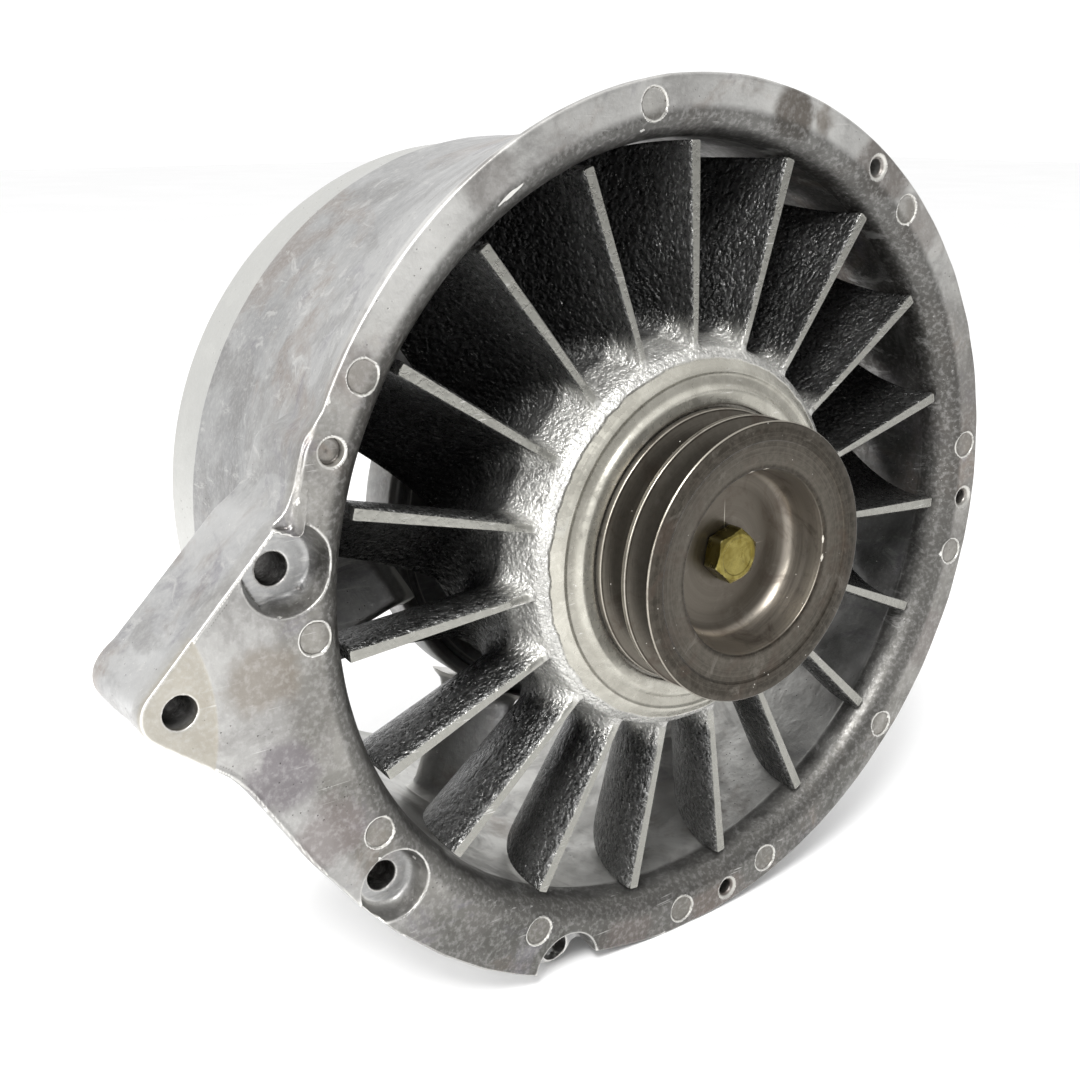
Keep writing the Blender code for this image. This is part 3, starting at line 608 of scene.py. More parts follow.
def vane_points(degrees):
    angle = math.radians(degrees)
    flare = 7.0
    steps = 14
    span = [0.0, 0.03, 0.07, 0.12, 0.2, 0.35, 0.5, 0.65, 0.8, 0.88, 0.93, 0.97, 1.0]
    points = []
    for part_out in span:
        left, right = [], []
        for i in range(steps + 1):
            part = 0.5 * (1 - math.cos(math.pi * i / steps))
            depth = VANE_FRONT + part * (VANE_REAR - VANE_FRONT)
            shift = -VANE_SHIFT * (1 - (1 - part) ** VANE_CAMBER)
            slope = -VANE_SHIFT * VANE_CAMBER * (1 - part) ** (VANE_CAMBER - 1)
            slope /= VANE_REAR - VANE_FRONT
            lean = 1 / math.hypot(1, slope)
            inner = VANE_RING - 1.5
            outer_limit = np.interp(depth, (0, BORE_TAPER, DUCT_DEPTH), (BORE, BORE, BORE_END)) + 0.4
            outer = math.sqrt(outer_limit**2 - shift**2)
            reach = inner + (outer - inner) * part_out
            edge = min(reach - VANE_RING, outer - 0.4 - reach)
            near = min(1, max(0, 1 - edge / flare))
            grow = flare * 0.8 * (1 - math.sqrt(max(0, 1 - near**2)))
            round_off = math.sqrt(max(0.0, 1 - (2 * part - 1) ** 8))
            half = VANE_HALF * (0.35 + 0.65 * round_off) + grow
            for side, run in ((1, left), (-1, right)):
                across = shift + side * half * lean
                y = depth - side * half * slope * lean + grow * 0.5 * (2 * part - 1)
                x = reach * math.cos(angle) - across * math.sin(angle)
                z = reach * math.sin(angle) + across * math.cos(angle)
                run.append((x, y, z))
        points += left + right[::-1]
    return points, len(span), 2 * (steps + 1)


def make_vane_hub():
    web = VANE_FRONT - 1.0
    back = VANE_FRONT + 7.0
    ring = VANE_RING - 7.0
    rear = 101.0
    boss_end = DUCT_DEPTH - 12.0
    profile = [
        (VANE_RING, rear, 0.8),
        (VANE_RING + 0.4, VANE_FRONT + 1.5, 1.2),
        (VANE_RING - 1.6, web, 1.0),
        (86.5, web, 0.5),
        (86.0, web + 1.2, 0.4),
        (84.0, web + 1.2, 0.4),
        (83.5, web - 0.2, 0.5),
        (60.0, web - 0.6, 6.0),
        (49.0, web - 8.0, 5.0),
        (44.0, 13.0, 1.0),
        (36.0, 13.0, 0.5),
        (36.0, boss_end, 0.5),
        (47.0, boss_end, 1.0),
        (49.0, back + 12.0, 6.0),
        (60.0, back, 5.0),
        (ring - 3.0, back, 2.0),
        (ring, back + 4.0, 2.0),
        (ring, rear, 0.8),
    ]
    hub = lathe("guide_vane_casting", round_corners(profile, 1.0, 3), 168)
    points, faces = [], []
    for i in range(VANE_COUNT):
        vane, rings, size = vane_points(FIRST_VANE + 360 * i / VANE_COUNT)
        faces += loft_faces(rings, size, len(points))
        points += vane
    vanes = face_outwards(make_object("vanes", points, faces, None))
    apply_boolean(hub, vanes, "UNION")
    hub.data.shade_smooth()
    hub.data.set_sharp_from_angle(angle=math.radians(50))
    return hub


# ---------------------------------------------------------------- pulley and bolt

PULLEY = 54.35
PULLEY_FRONT = -35.2
PULLEY_REAR = -5.4
PULLEY_FLOOR = -16.0
GROOVES = (-28.2, -14.3)


def make_pulley():
    profile = [
        (6.5, PULLEY_FLOOR, 0.2),
        (27.0, PULLEY_FLOOR, 2.0),
        (31.0, PULLEY_FLOOR - 0.8, 2.0),
        (33.8, PULLEY_FLOOR - 4.0, 3.0),
        (35.4, PULLEY_FRONT + 5.0, 1.0),
        (35.9, PULLEY_FRONT + 1.6, 0.8),
        (36.6, PULLEY_FRONT + 1.0, 0.5),
        (46.6, PULLEY_FRONT + 0.7, 0.3),
        (47.3, PULLEY_FRONT + 0.1, 0.3),
        (PULLEY - 0.5, PULLEY_FRONT, 0.4),
        (PULLEY, PULLEY_FRONT + 0.6, 0.4),
    ]
    for middle in GROOVES:
        profile += [
            (PULLEY, middle - 6.0, 0.5),
            (PULLEY - 10.4, middle - 2.6, 1.2),
            (PULLEY - 10.4, middle + 2.6, 1.2),
            (PULLEY, middle + 6.0, 0.5),
        ]
    profile += [
        (PULLEY, PULLEY_REAR - 0.4, 0.3),
        (PULLEY - 0.5, PULLEY_REAR, 0.2),
        (15.3, PULLEY_REAR, 0.2),
        (15.3, -10.8, 0.2),
        (6.5, -10.8, 0.2),
    ]
    return lathe("pulley_turning", round_corners(profile, 0.4, 3), 240)


def hex_head(corner, base, top, start_deg, shank, shank_end):
    """A hexagon head with its corners turned off at the top, and its shank, as one closed mesh.

    base and top are depths: the head stands from base towards top, and the shank goes the other way.
    """
    sign = 1 if top > base else -1
    inner = corner * math.cos(math.pi / 6)
    around = 96
    rows = []

    def hexagon(radius_at):
        row = []
        for i in range(around):
            degrees = start_deg + 360 * i / around
            local = math.radians((degrees - start_deg) % 60 - 30)
            flat = inner / math.cos(local)
            row.append(radius_at(flat))
        return row

    rows.append((base, hexagon(lambda flat: min(flat, inner * 1.02))))
    rows.append((base + sign * 0.35, hexagon(lambda flat: flat)))
    height = abs(top - base)
    for share in (0.0, 0.25, 0.5, 0.75, 1.0):
        drop = (1 - share) * (corner - inner * 0.94) * 0.5
        limit = inner * 0.94 + (1 - share) * (corner - inner * 0.94)
        rows.append((base + sign * (height - drop), hexagon(lambda flat, m=limit: min(flat, m))))
    rows.append((top, [inner * 0.90] * around))
    rows.append((top, [inner * 0.80] * around))
    rows.append((top - sign * 0.25, [inner * 0.76] * around))
    rows.append((top - sign * 0.25, [inner * 0.2] * around))
    points = []
    for depth, row in rows:
        for i, radius in enumerate(row):
            x, z = polar(radius, start_deg + 360 * i / around)
            points.append((x, depth, z))
    below = [(shank, base), (shank, shank_end + sign * 1.0), (shank - 1.0, shank_end)]
    bottom = []
    for radius, depth in below:
        for i in range(around):
            x, z = polar(radius, start_deg + 360 * i / around)
            bottom.append((x, depth, z))
    points = bottom[::-1] + points
    faces = loft_faces(len(points) // around, around)
    return points, faces


# ---------------------------------------------------------------- materials


class Graph:
    """A material's node tree around one Principled BSDF."""

    def __init__(self, name):
        self.material = bpy.data.materials.new(name)
        self.material.use_nodes = True
        self.tree = self.material.node_tree
        self.shader = self.tree.nodes["Principled BSDF"]
        self.place = self.add("ShaderNodeTexCoord").outputs["Object"]

    def add(self, kind, **settings):
        node = self.tree.nodes.new(kind)
        for key, value in settings.items():
            setattr(node, key, value)
        return node

    def put(self, socket, value):
        if isinstance(value, bpy.types.NodeSocket):
            self.tree.links.new(value, socket)
        else:
            socket.default_value = value

    def noise(self, scale, detail=4, rough=0.55, twist=0.0, vector=None):
        node = self.add("ShaderNodeTexNoise")
        self.put(node.inputs["Vector"], vector or self.place)
        for key, value in (("Scale", scale), ("Detail", detail), ("Roughness", rough), ("Distortion", twist)):
            node.inputs[key].default_value = value
        return node.outputs["Fac"]

    def cells(self, scale, feature="F1", vector=None, smooth=None):
        node = self.add("ShaderNodeTexVoronoi", feature=feature)
        self.put(node.inputs["Vector"], vector or self.place)
        node.inputs["Scale"].default_value = scale
        if smooth is not None:
            node.inputs["Smoothness"].default_value = smooth
        return node.outputs["Distance"]

    def maths(self, operation, first, second=0.0, third=0.0, clamp=False):
        node = self.add("ShaderNodeMath", operation=operation, use_clamp=clamp)
        for socket, value in zip(node.inputs, (first, second, third)):
            self.put(socket, value)
        return node.outputs[0]

    def times(self, first, second):
        return self.maths("MULTIPLY", first, second)

    def band(self, value, low, high, out_low=0.0, out_high=1.0):
        node = self.add("ShaderNodeMapRange", interpolation_type="SMOOTHSTEP")
        self.put(node.inputs["Value"], value)
        pairs = (("From Min", low), ("From Max", high), ("To Min", out_low), ("To Max", out_high))
        for key, number in pairs:
            node.inputs[key].default_value = number
        return node.outputs["Result"]

    def mix(self, share, first, second, blend="MIX"):
        node = self.add("ShaderNodeMix", data_type="RGBA", blend_type=blend)
        self.put(node.inputs[0], share)
        for socket, value in ((node.inputs[6], first), (node.inputs[7], second)):
            self.put(socket, value if isinstance(value, bpy.types.NodeSocket) else (*value, 1.0))
        return node.outputs[2]

    def stretched(self, scale, rotation=(0, 0, 0)):
        node = self.add("ShaderNodeMapping")
        self.put(node.inputs["Vector"], self.place)
        node.inputs["Scale"].default_value = scale
        node.inputs["Rotation"].default_value = rotation
        return node.outputs["Vector"]

    def axis_place(self):
        """The point's distance from the rotor's axis, its place along it and its height, in metres."""
        parts = self.add("ShaderNodeSeparateXYZ")
        self.put(parts.inputs[0], self.place)
        across = self.maths("MULTIPLY", parts.outputs[0], parts.outputs[0])
        across = self.maths("MULTIPLY_ADD", parts.outputs[2], parts.outputs[2], across)
        return self.maths("SQRT", across), parts.outputs[1], parts.outputs[2]

    def ring_vector(self, radius, along):
        """Coordinates that change only with radius and depth, for turned surfaces."""
        node = self.add("ShaderNodeCombineXYZ")
        self.put(node.inputs[0], radius)
        self.put(node.inputs[1], along)
        return node.outputs[0]

    def bump(self, height, strength, distance, normal=None, invert=False):
        node = self.add("ShaderNodeBump", invert=invert)
        node.inputs["Strength"].default_value = strength
        node.inputs["Distance"].default_value = distance
        self.put(node.inputs["Height"], height)
        if normal:
            self.put(node.inputs["Normal"], normal)
        return node.outputs["Normal"]

    def flat_place(self):
        """The point's place seen along the rotor's axis."""
        node = self.add("ShaderNodeVectorMath", operation="MULTIPLY")
        self.put(node.inputs[0], self.place)
        node.inputs[1].default_value = (1, 0, 1)
        return node.outputs["Vector"]

    def away_from(self, flat, centre):
        """Distance in metres from a point given as (x, z) in millimetres."""
        node = self.add("ShaderNodeVectorMath", operation="DISTANCE")
        self.put(node.inputs[0], flat)
        node.inputs[1].default_value = (centre[0] * MM, 0, centre[1] * MM)
        return node.outputs["Value"]

    def dot(self, first, second):
        node = self.add("ShaderNodeVectorMath", operation="DOT_PRODUCT")
        self.put(node.inputs[0], first)
        self.put(node.inputs[1], second)
        return node.outputs["Value"]

    def nearest(self, flat, centres):
        result = self.away_from(flat, centres[0])
        for centre in centres[1:]:
            result = self.maths("MINIMUM", result, self.away_from(flat, centre))
        return result

    def scratches(self, amount, scale=55, turn=(0.3, 0.9, 0.5)):
        """A mask of short thin marks."""
        fine = self.noise(scale * 22, 2, 0.5, 0.0, self.stretched((0.03, 1.0, 1.0), turn))
        where = self.band(self.noise(scale, 3), 0.50, 0.62, 0.0, amount)
        return self.maths("MULTIPLY", self.band(fine, 0.66, 0.72), where)

    def finish(self, colour, rough, normal, metallic, specular=0.5):
        self.put(self.shader.inputs["Base Color"], colour)
        self.put(self.shader.inputs["Roughness"], rough)
        self.put(self.shader.inputs["Normal"], normal)
        if metallic is not None:
            self.shader.inputs["Metallic"].default_value = metallic
        self.shader.inputs["Specular IOR Level"].default_value = specular
        return self.material


# Stains on the front face: centre (x, z), reach, colour, strength
STAINS = (
    ((44, 160), 14, (0.085, 0.068, 0.052), 0.85),
    ((58, 157), 9, (0.15, 0.125, 0.10), 0.75),
    ((96, 139), 17, (0.115, 0.098, 0.085), 0.75),
    ((122, 116), 15, (0.17, 0.15, 0.135), 0.6),
    ((166, 30), 18, (0.15, 0.14, 0.13), 0.5),
    ((150, -76), 16, (0.16, 0.14, 0.13), 0.5),
    ((20, -168), 15, (0.16, 0.13, 0.115), 0.55),
    ((-30, -165), 14, (0.15, 0.125, 0.115), 0.5),
    ((-186, -12), 15, (0.20, 0.175, 0.145), 0.7),
    ((-180, -48), 14, (0.155, 0.14, 0.15), 0.75),
    ((-163, -74), 15, (0.18, 0.155, 0.15), 0.65),
    ((-148, 84), 12, (0.17, 0.15, 0.14), 0.5),
    ((-95, 141), 13, (0.16, 0.145, 0.135), 0.5),
)


# Places in metres where the cast housing's colour changes: the painted highlight rings round the pin marks
# and the guard holes, the milled pad's edge and the start of the turned register
PIN_RING = 0.0064
GUARD_RING = 0.0047
PAD_REACH = PAD_RADIUS * MM + 0.0002
REGISTER_Y = RIM_Y + REGISTER_START * MM


def cast_aluminium():
    g = Graph("cast_aluminium_look")
    radius, along, above = g.axis_place()
    flat = g.flat_place()
    front = g.band(along, RIM_Y + 0.0042, RIM_Y + 0.0012)
    outside = g.band(along, RIM_Y + 0.004, RIM_Y + 0.010)
    clouds = g.noise(11, 6, 0.65, 0.9)
    cloudy = g.band(clouds, 0.38, 0.62)
    wall_clouds = g.band(clouds, 0.36, 0.64)
    blots = g.noise(30, 5, 0.6, 1.0)
    grain = g.noise(520, 3, 0.6)
    face = g.mix(cloudy, (0.15, 0.145, 0.132), (0.27, 0.262, 0.245))
    clean = g.mix(cloudy, (0.31, 0.305, 0.295), (0.43, 0.425, 0.41))
    # painted light: the front face is lighter towards the top, as if lit from above
    high = g.band(above, 0.055, 0.125)
    lug = g.times(g.band(radius, 0.1755, 0.1830), g.band(above, -0.150, -0.105))
    top_painted_light = g.mix(cloudy, (0.43, 0.425, 0.41), (0.56, 0.555, 0.535))
    face = g.mix(lug, face, clean)
    face = g.mix(high, face, top_painted_light)
    # painted shade: the front face turns almost black towards the bottom
    face = g.mix(g.band(above, -0.095, -0.145, 0.0, 0.72), face, (0.05, 0.05, 0.045))
    wall = g.mix(wall_clouds, (0.27, 0.27, 0.27), (0.38, 0.38, 0.375))
    block = g.mix(wall_clouds, (0.34, 0.34, 0.34), (0.47, 0.47, 0.465))
    wall = g.mix(g.band(radius, 0.1765, 0.1830), wall, block)
    # painted light and shade on the inward-facing duct surfaces: light at the bottom, nearly black at the
    # top, as if lit from above
    inside = g.mix(g.band(above, -0.13, -0.05), (0.66, 0.655, 0.63), (0.28, 0.28, 0.275))
    inside = g.mix(g.band(above, -0.04, 0.06), inside, (0.085, 0.082, 0.077))
    shape = g.add("ShaderNodeNewGeometry")
    wall = g.mix(g.band(g.dot(shape.outputs["Normal"], flat), -0.02, -0.05), wall, inside)
    colour = g.mix(outside, face, wall)
    colour = g.mix(g.band(blots, 0.48, 0.62, 0.0, 0.40), colour, (0.15, 0.142, 0.135))
    colour = g.mix(g.band(blots, 0.43, 0.34, 0.0, 0.25), colour, (0.45, 0.445, 0.43))
    brown = g.noise(15, 6, 0.7, 1.0, g.stretched((1, 1, 1), (0.4, 0.2, 0.9)))
    colour = g.mix(g.band(brown, 0.52, 0.68, 0.0, 0.55), colour, (0.23, 0.185, 0.155))
    purple = g.noise(21, 6, 0.7, 0.8, g.stretched((1, 1, 1), (1.4, 0.7, 0.2)))
    colour = g.mix(g.band(purple, 0.55, 0.68, 0.0, 0.5), colour, (0.17, 0.16, 0.185))
    ragged = g.noise(45, 4, 0.55, 0.8)
    for centre, reach, tint, strength in STAINS:
        away = g.maths("MULTIPLY_ADD", ragged, 0.022, g.away_from(flat, centre))
        spot = g.band(away, (reach + 12) * MM, (reach + 5) * MM, 0.0, strength)
        colour = g.mix(g.times(spot, front), colour, tint)
    pad_edge = g.away_from(flat, PAD_CENTRE)
    pad = g.times(g.band(pad_edge, PAD_REACH + 0.0005, PAD_REACH - 0.0005), front)
    colour = g.mix(g.times(pad, 0.7), colour, (0.34, 0.315, 0.26))
    # painted shade on the rounded lip: dark, and darker towards the top
    lip = g.times(g.band(radius, 0.1650, 0.1615), g.band(along, RIM_Y + 0.016, RIM_Y + 0.013))
    lip_painted_shade = g.mix(g.band(above, -0.08, 0.08), (0.10, 0.097, 0.090), (0.045, 0.043, 0.039))
    colour = g.mix(g.times(lip, 0.85), colour, lip_painted_shade)

    marks = g.nearest(flat, [polar(PIN_MARK_CIRCLE, degrees) for degrees in PIN_MARKS])
    wobble = g.maths("MULTIPLY_ADD", g.noise(170, 2), 0.0012, marks)
    # painted highlight on the burr round each pin mark; the burr is also raised by the bump below
    ring = g.band(g.maths("ABSOLUTE", g.maths("SUBTRACT", wobble, PIN_RING)), 0.00065, 0.0001)
    ring = g.times(ring, front)
    disc = g.times(g.band(wobble, PIN_RING, PIN_RING - 0.0008), front)
    colour = g.mix(g.times(disc, 0.35), colour, (0.25, 0.235, 0.205))
    broken = g.band(g.noise(130, 4), 0.30, 0.52, 0.35, 1.0)
    colour = g.mix(g.times(ring, broken), colour, (0.60, 0.59, 0.55))
    # painted highlight round the chamfered mouth of each guard hole
    holes = g.nearest(flat, [polar(GUARD_CIRCLE, degrees) for degrees in GUARD_HOLES])
    lit = g.band(g.maths("ABSOLUTE", g.maths("SUBTRACT", holes, GUARD_RING)), 0.0009, 0.0002, 0.0, 0.8)
    colour = g.mix(g.times(lit, front), colour, (0.62, 0.61, 0.57))
    # painted shade: the bolt holes turn darker with depth
    bolts = g.nearest(flat, BOLT_HOLES)
    deeper = g.band(along, RIM_Y + 0.002, RIM_Y + 0.016, 0.35, 0.95)
    hole_painted_shade = g.times(g.band(bolts, 0.0064, 0.0056), deeper)
    colour = g.mix(hole_painted_shade, colour, (0.045, 0.04, 0.035))

    turned = g.band(along, REGISTER_Y - 0.0005, REGISTER_Y + 0.0005)
    lines = g.noise(900, 2, 0.5, 0.0, g.ring_vector(radius, along))
    colour = g.mix(turned, colour, (0.49, 0.49, 0.47))
    colour = g.mix(g.band(grain, 0.42, 0.72, 0.0, 0.22), colour, (0.55, 0.54, 0.53))
    pits = g.cells(330)
    pit_mask = g.times(g.band(pits, 0.12, 0.05), g.band(g.noise(24, 2), 0.48, 0.60))
    colour = g.mix(g.times(pit_mask, 0.85), colour, (0.035, 0.032, 0.03))
    streak = g.noise(60, 6, 0.75, 0.8, g.stretched((0.35, 1.0, 2.4), (0.0, 0.5, 0.3)))
    pale = g.times(g.band(streak, 0.55, 0.66, 0.0, 0.6), outside)
    colour = g.mix(pale, colour, (0.52, 0.515, 0.50))
    colour = g.mix(g.scratches(0.45), colour, (0.66, 0.65, 0.63))
    edges = shape.outputs["Pointiness"]
    # convex edges lighter: edge wear, and a painted highlight where rounded edges catch the light
    wear_and_painted_highlight = g.times(g.band(edges, 0.512, 0.545, 0.0, 0.9), g.band(radius, 0.012, 0.016))
    colour = g.mix(wear_and_painted_highlight, colour, (0.72, 0.71, 0.68))
    # painted shade: concave creases darker
    colour = g.mix(g.band(edges, 0.488, 0.455, 0.0, 0.7), colour, (0.07, 0.062, 0.055))

    rough = g.band(g.noise(70, 5, 0.6), 0.3, 0.7, 0.32, 0.52)
    height = g.maths("MULTIPLY_ADD", grain, 0.3, g.noise(150, 5, 0.6))
    height = g.maths("MULTIPLY_ADD", ring, 0.5, height)
    normal = g.bump(height, 0.40, 0.0007)
    normal = g.bump(g.times(lines, turned), 0.35, 0.0003, normal)
    normal = g.bump(pit_mask, 0.6, 0.0005, normal, invert=True)
    return g.finish(colour, rough, normal, 0.88)


def impeller_aluminium():
    g = Graph("impeller_aluminium_look")
    radius, along, _ = g.axis_place()
    deep = g.maths("MULTIPLY_ADD", g.noise(60, 3), 0.006, g.maths("SUBTRACT", along, RIM_Y + 0.003))
    peel = g.noise(620, 3, 0.55, 0.6)
    coarse = g.noise(330, 2, 0.5, 0.3)
    blade = g.mix(g.band(g.noise(30, 4, 0.5), 0.35, 0.68), (0.085, 0.085, 0.083), (0.15, 0.15, 0.147))
    # painted shade: the blades darken to nearly black with depth into the duct
    blade = g.mix(g.band(deep, 0.006, 0.036, 0.0, 0.88), blade, (0.022, 0.022, 0.022))
    cone = g.mix(g.band(g.noise(38, 5, 0.6, 0.5), 0.35, 0.68), (0.42, 0.415, 0.395), (0.62, 0.615, 0.585))
    # painted shade: the hub cone turns dark past about 16 mm deep and nearly black past 22 mm
    cone = g.mix(g.band(deep, 0.0155, 0.0205, 0.0, 0.90), cone, (0.07, 0.07, 0.068))
    cone = g.mix(g.band(deep, 0.022, 0.040, 0.0, 0.95), cone, (0.03, 0.03, 0.03))
    colour = g.mix(g.band(radius, 0.0900, 0.0815), blade, cone)
    # painted highlight: light speckles on the blades near the front
    painted_glints = g.times(g.band(peel, 0.50, 0.66, 0.0, 0.3), g.band(deep, 0.030, 0.004))
    colour = g.mix(painted_glints, colour, (0.50, 0.50, 0.49))
    facing = g.add("ShaderNodeSeparateXYZ")
    shape = g.add("ShaderNodeNewGeometry")
    g.put(facing.inputs[0], shape.outputs["Normal"])
    leading = g.times(g.band(facing.outputs[1], -0.45, -0.75), g.band(deep, 0.012, 0.009))
    leading = g.times(leading, g.band(radius, 0.0775, 0.0800))
    colour = g.mix(g.times(leading, 0.85), colour, (0.27, 0.266, 0.24))
    scallop = g.maths("MULTIPLY_ADD", g.noise(140, 3), 0.0022, radius)
    forward = g.band(along, RIM_Y + 0.0035, RIM_Y + 0.0005)
    turned = g.times(g.band(scallop, 0.0742, 0.0732), forward)
    soft = g.mix(g.band(g.noise(60, 6, 0.7, 0.8), 0.4, 0.65), (0.35, 0.338, 0.295), (0.45, 0.437, 0.385))
    colour = g.mix(turned, colour, soft)
    # painted shade: a darker band in the turned ring's groove
    step = g.band(g.maths("ABSOLUTE", g.maths("SUBTRACT", radius, 0.0650)), 0.0030, 0.0015, 0.0, 0.30)
    colour = g.mix(g.times(step, turned), colour, (0.16, 0.15, 0.125))
    # painted shade: the turned ring darkens where it meets the pulley
    pulley_gap_painted_shade = g.times(g.band(radius, 0.0572, 0.0556, 0.0, 0.8), turned)
    colour = g.mix(pulley_gap_painted_shade, colour, (0.12, 0.11, 0.095))
    colour = g.mix(g.band(shape.outputs["Pointiness"], 0.54, 0.64, 0.0, 0.5), colour, (0.45, 0.445, 0.41))
    colour = g.mix(g.scratches(0.7, 70), colour, (0.75, 0.74, 0.72))
    rough = g.band(coarse, 0.3, 0.7, 0.20, 0.38)
    cast = g.maths("SUBTRACT", 1.0, g.maths("MAXIMUM", turned, g.times(leading, 0.8)))
    height = g.maths("MULTIPLY_ADD", coarse, 0.9, peel)
    normal = g.bump(g.times(height, cast), 0.85, 0.0013)
    lines = g.noise(1100, 2, 0.5, 0.0, g.ring_vector(radius, along))
    normal = g.bump(g.times(lines, turned), 0.22, 0.0002, normal)
    metal = g.band(radius, 0.0800, 0.0860, 0.65, 0.92)
    g.put(g.shader.inputs["Metallic"], metal)
    return g.finish(colour, rough, normal, None)


def turned_iron():
    g = Graph("turned_iron_look")
    radius, along, _ = g.axis_place()
    rings = g.ring_vector(radius, along)
    lines = g.noise(1700, 3, 0.6, 0.0, rings)
    wide = g.noise(320, 2, 0.5, 0.0, rings)
    spots = g.noise(480, 4, 0.6)
    colour = g.mix(g.band(spots, 0.35, 0.65), (0.028, 0.024, 0.018), (0.052, 0.045, 0.036))
    # painted reflection: the recess floor lighter than the rest of the pulley
    floor = g.times(g.band(radius, 0.0335, 0.0300), g.band(along, RIM_Y - 0.0215, RIM_Y - 0.0175))
    colour = g.mix(floor, colour, (0.10, 0.088, 0.072))
    # painted highlight on the flange tops
    rims_painted_highlight = g.band(radius, 0.0538, 0.0542, 0.0, 0.85)
    colour = g.mix(rims_painted_highlight, colour, (0.42, 0.39, 0.335))
    # painted highlight: the recess wall lighter all round
    bowl_painted_highlight = g.times(g.band(radius, 0.0305, 0.0325), g.band(radius, 0.0362, 0.0357))
    colour = g.mix(bowl_painted_highlight, colour, (0.26, 0.235, 0.20))
    sides = g.times(g.band(radius, 0.0536, 0.0532), g.band(along, RIM_Y - 0.0348, RIM_Y - 0.0338))
    sides = g.times(sides, g.band(radius, 0.0370, 0.0385))
    colour = g.mix(g.times(sides, 0.5), colour, (0.17, 0.155, 0.13))
    colour = g.mix(g.band(lines, 0.45, 0.7, 0.0, 0.30), colour, (0.14, 0.127, 0.108))
    colour = g.mix(g.band(g.noise(50, 6, 0.7, 0.8), 0.48, 0.68, 0.0, 0.6), colour, (0.06, 0.044, 0.034))
    colour = g.mix(g.band(g.noise(85, 6, 0.7, 0.8), 0.56, 0.70, 0.0, 0.5), colour, (0.15, 0.137, 0.118))
    cells = g.cells(260)
    nick_mask = g.times(g.band(cells, 0.09, 0.05), g.band(g.noise(60, 2), 0.5, 0.6))
    colour = g.mix(nick_mask, colour, (0.50, 0.48, 0.44))
    edges = g.add("ShaderNodeNewGeometry").outputs["Pointiness"]
    colour = g.mix(g.band(edges, 0.52, 0.58, 0.0, 0.95), colour, (0.55, 0.52, 0.46))
    # painted shade: concave creases darker
    colour = g.mix(g.band(edges, 0.485, 0.455, 0.0, 0.5), colour, (0.05, 0.043, 0.037))
    rough = g.band(wide, 0.3, 0.7, 0.30, 0.42)
    height = g.maths("MULTIPLY_ADD", spots, 0.6, lines)
    normal = g.bump(height, 0.16, 0.00018)
    normal = g.bump(nick_mask, 0.5, 0.0004, normal, invert=True)
    return g.finish(colour, rough, normal, 0.9)


def yellow_zinc():
    g = Graph("yellow_zinc_look")
    tint = g.band(g.noise(160, 4, 0.6, 0.8), 0.35, 0.65)
    colour = g.mix(tint, (0.14, 0.11, 0.024), (0.22, 0.185, 0.055))
    colour = g.mix(g.band(g.noise(420, 3), 0.6, 0.75, 0.0, 0.6), colour, (0.09, 0.07, 0.025))
    edges = g.add("ShaderNodeNewGeometry").outputs["Pointiness"]
    colour = g.mix(g.band(edges, 0.53, 0.62, 0.0, 0.8), colour, (0.50, 0.46, 0.24))
    rough = g.band(g.noise(300, 3), 0.3, 0.7, 0.24, 0.42)
    normal = g.bump(g.noise(700, 3), 0.25, 0.0003)
    return g.finish(colour, rough, normal, 1.0)


def ground_steel():
    g = Graph("ground_steel_look")
    radius, along, _ = g.axis_place()
    lines = g.noise(1800, 2, 0.5, 0.0, g.ring_vector(radius, along))
    colour = g.mix(g.band(lines, 0.3, 0.7), (0.44, 0.44, 0.45), (0.60, 0.60, 0.61))
    colour = g.mix(g.band(g.noise(90, 4, 0.6), 0.55, 0.75, 0.0, 0.5), colour, (0.30, 0.27, 0.22))
    rough = g.band(lines, 0.3, 0.7, 0.18, 0.32)
    return g.finish(colour, rough, g.bump(lines, 0.2, 0.0002), 1.0)


def cage_bronze():
    g = Graph("cage_bronze_look")
    colour = g.mix(g.band(g.noise(150, 4), 0.35, 0.65), (0.42, 0.28, 0.13), (0.58, 0.42, 0.22))
    rough = g.band(g.noise(500, 3), 0.3, 0.7, 0.28, 0.46)
    return g.finish(colour, rough, g.bump(g.noise(900, 3), 0.2, 0.0003), 0.95)


def seal_rubber():
    g = Graph("seal_rubber_look")
    colour = g.mix(g.band(g.noise(240, 4), 0.35, 0.7), (0.018, 0.018, 0.018), (0.045, 0.043, 0.04))
    rough = g.band(g.noise(600, 3), 0.3, 0.7, 0.55, 0.75)
    return g.finish(colour, rough, g.bump(g.noise(800, 4), 0.3, 0.0004), 0.0)


def gasket_paper():
    g = Graph("gasket_paper_look")
    fibres = g.noise(500, 5, 0.7, 1.5)
    colour = g.mix(g.band(fibres, 0.35, 0.65), (0.09, 0.07, 0.05), (0.20, 0.16, 0.11))
    return g.finish(colour, g.band(fibres, 0.3, 0.7, 0.75, 0.95), g.bump(fibres, 0.5, 0.0004), 0.0)


# ---------------------------------------------------------------- assembly


def dress(piece, look):
    piece.data.materials.clear()
    piece.data.materials.append(look)


def stand_for(piece, node, look):
    """A fine mesh takes the place of a CAD node, on that node's own body."""
    body = frame["nodes"][node]["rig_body"]
    dress(piece, look)
    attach(piece, body)
    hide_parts(node)


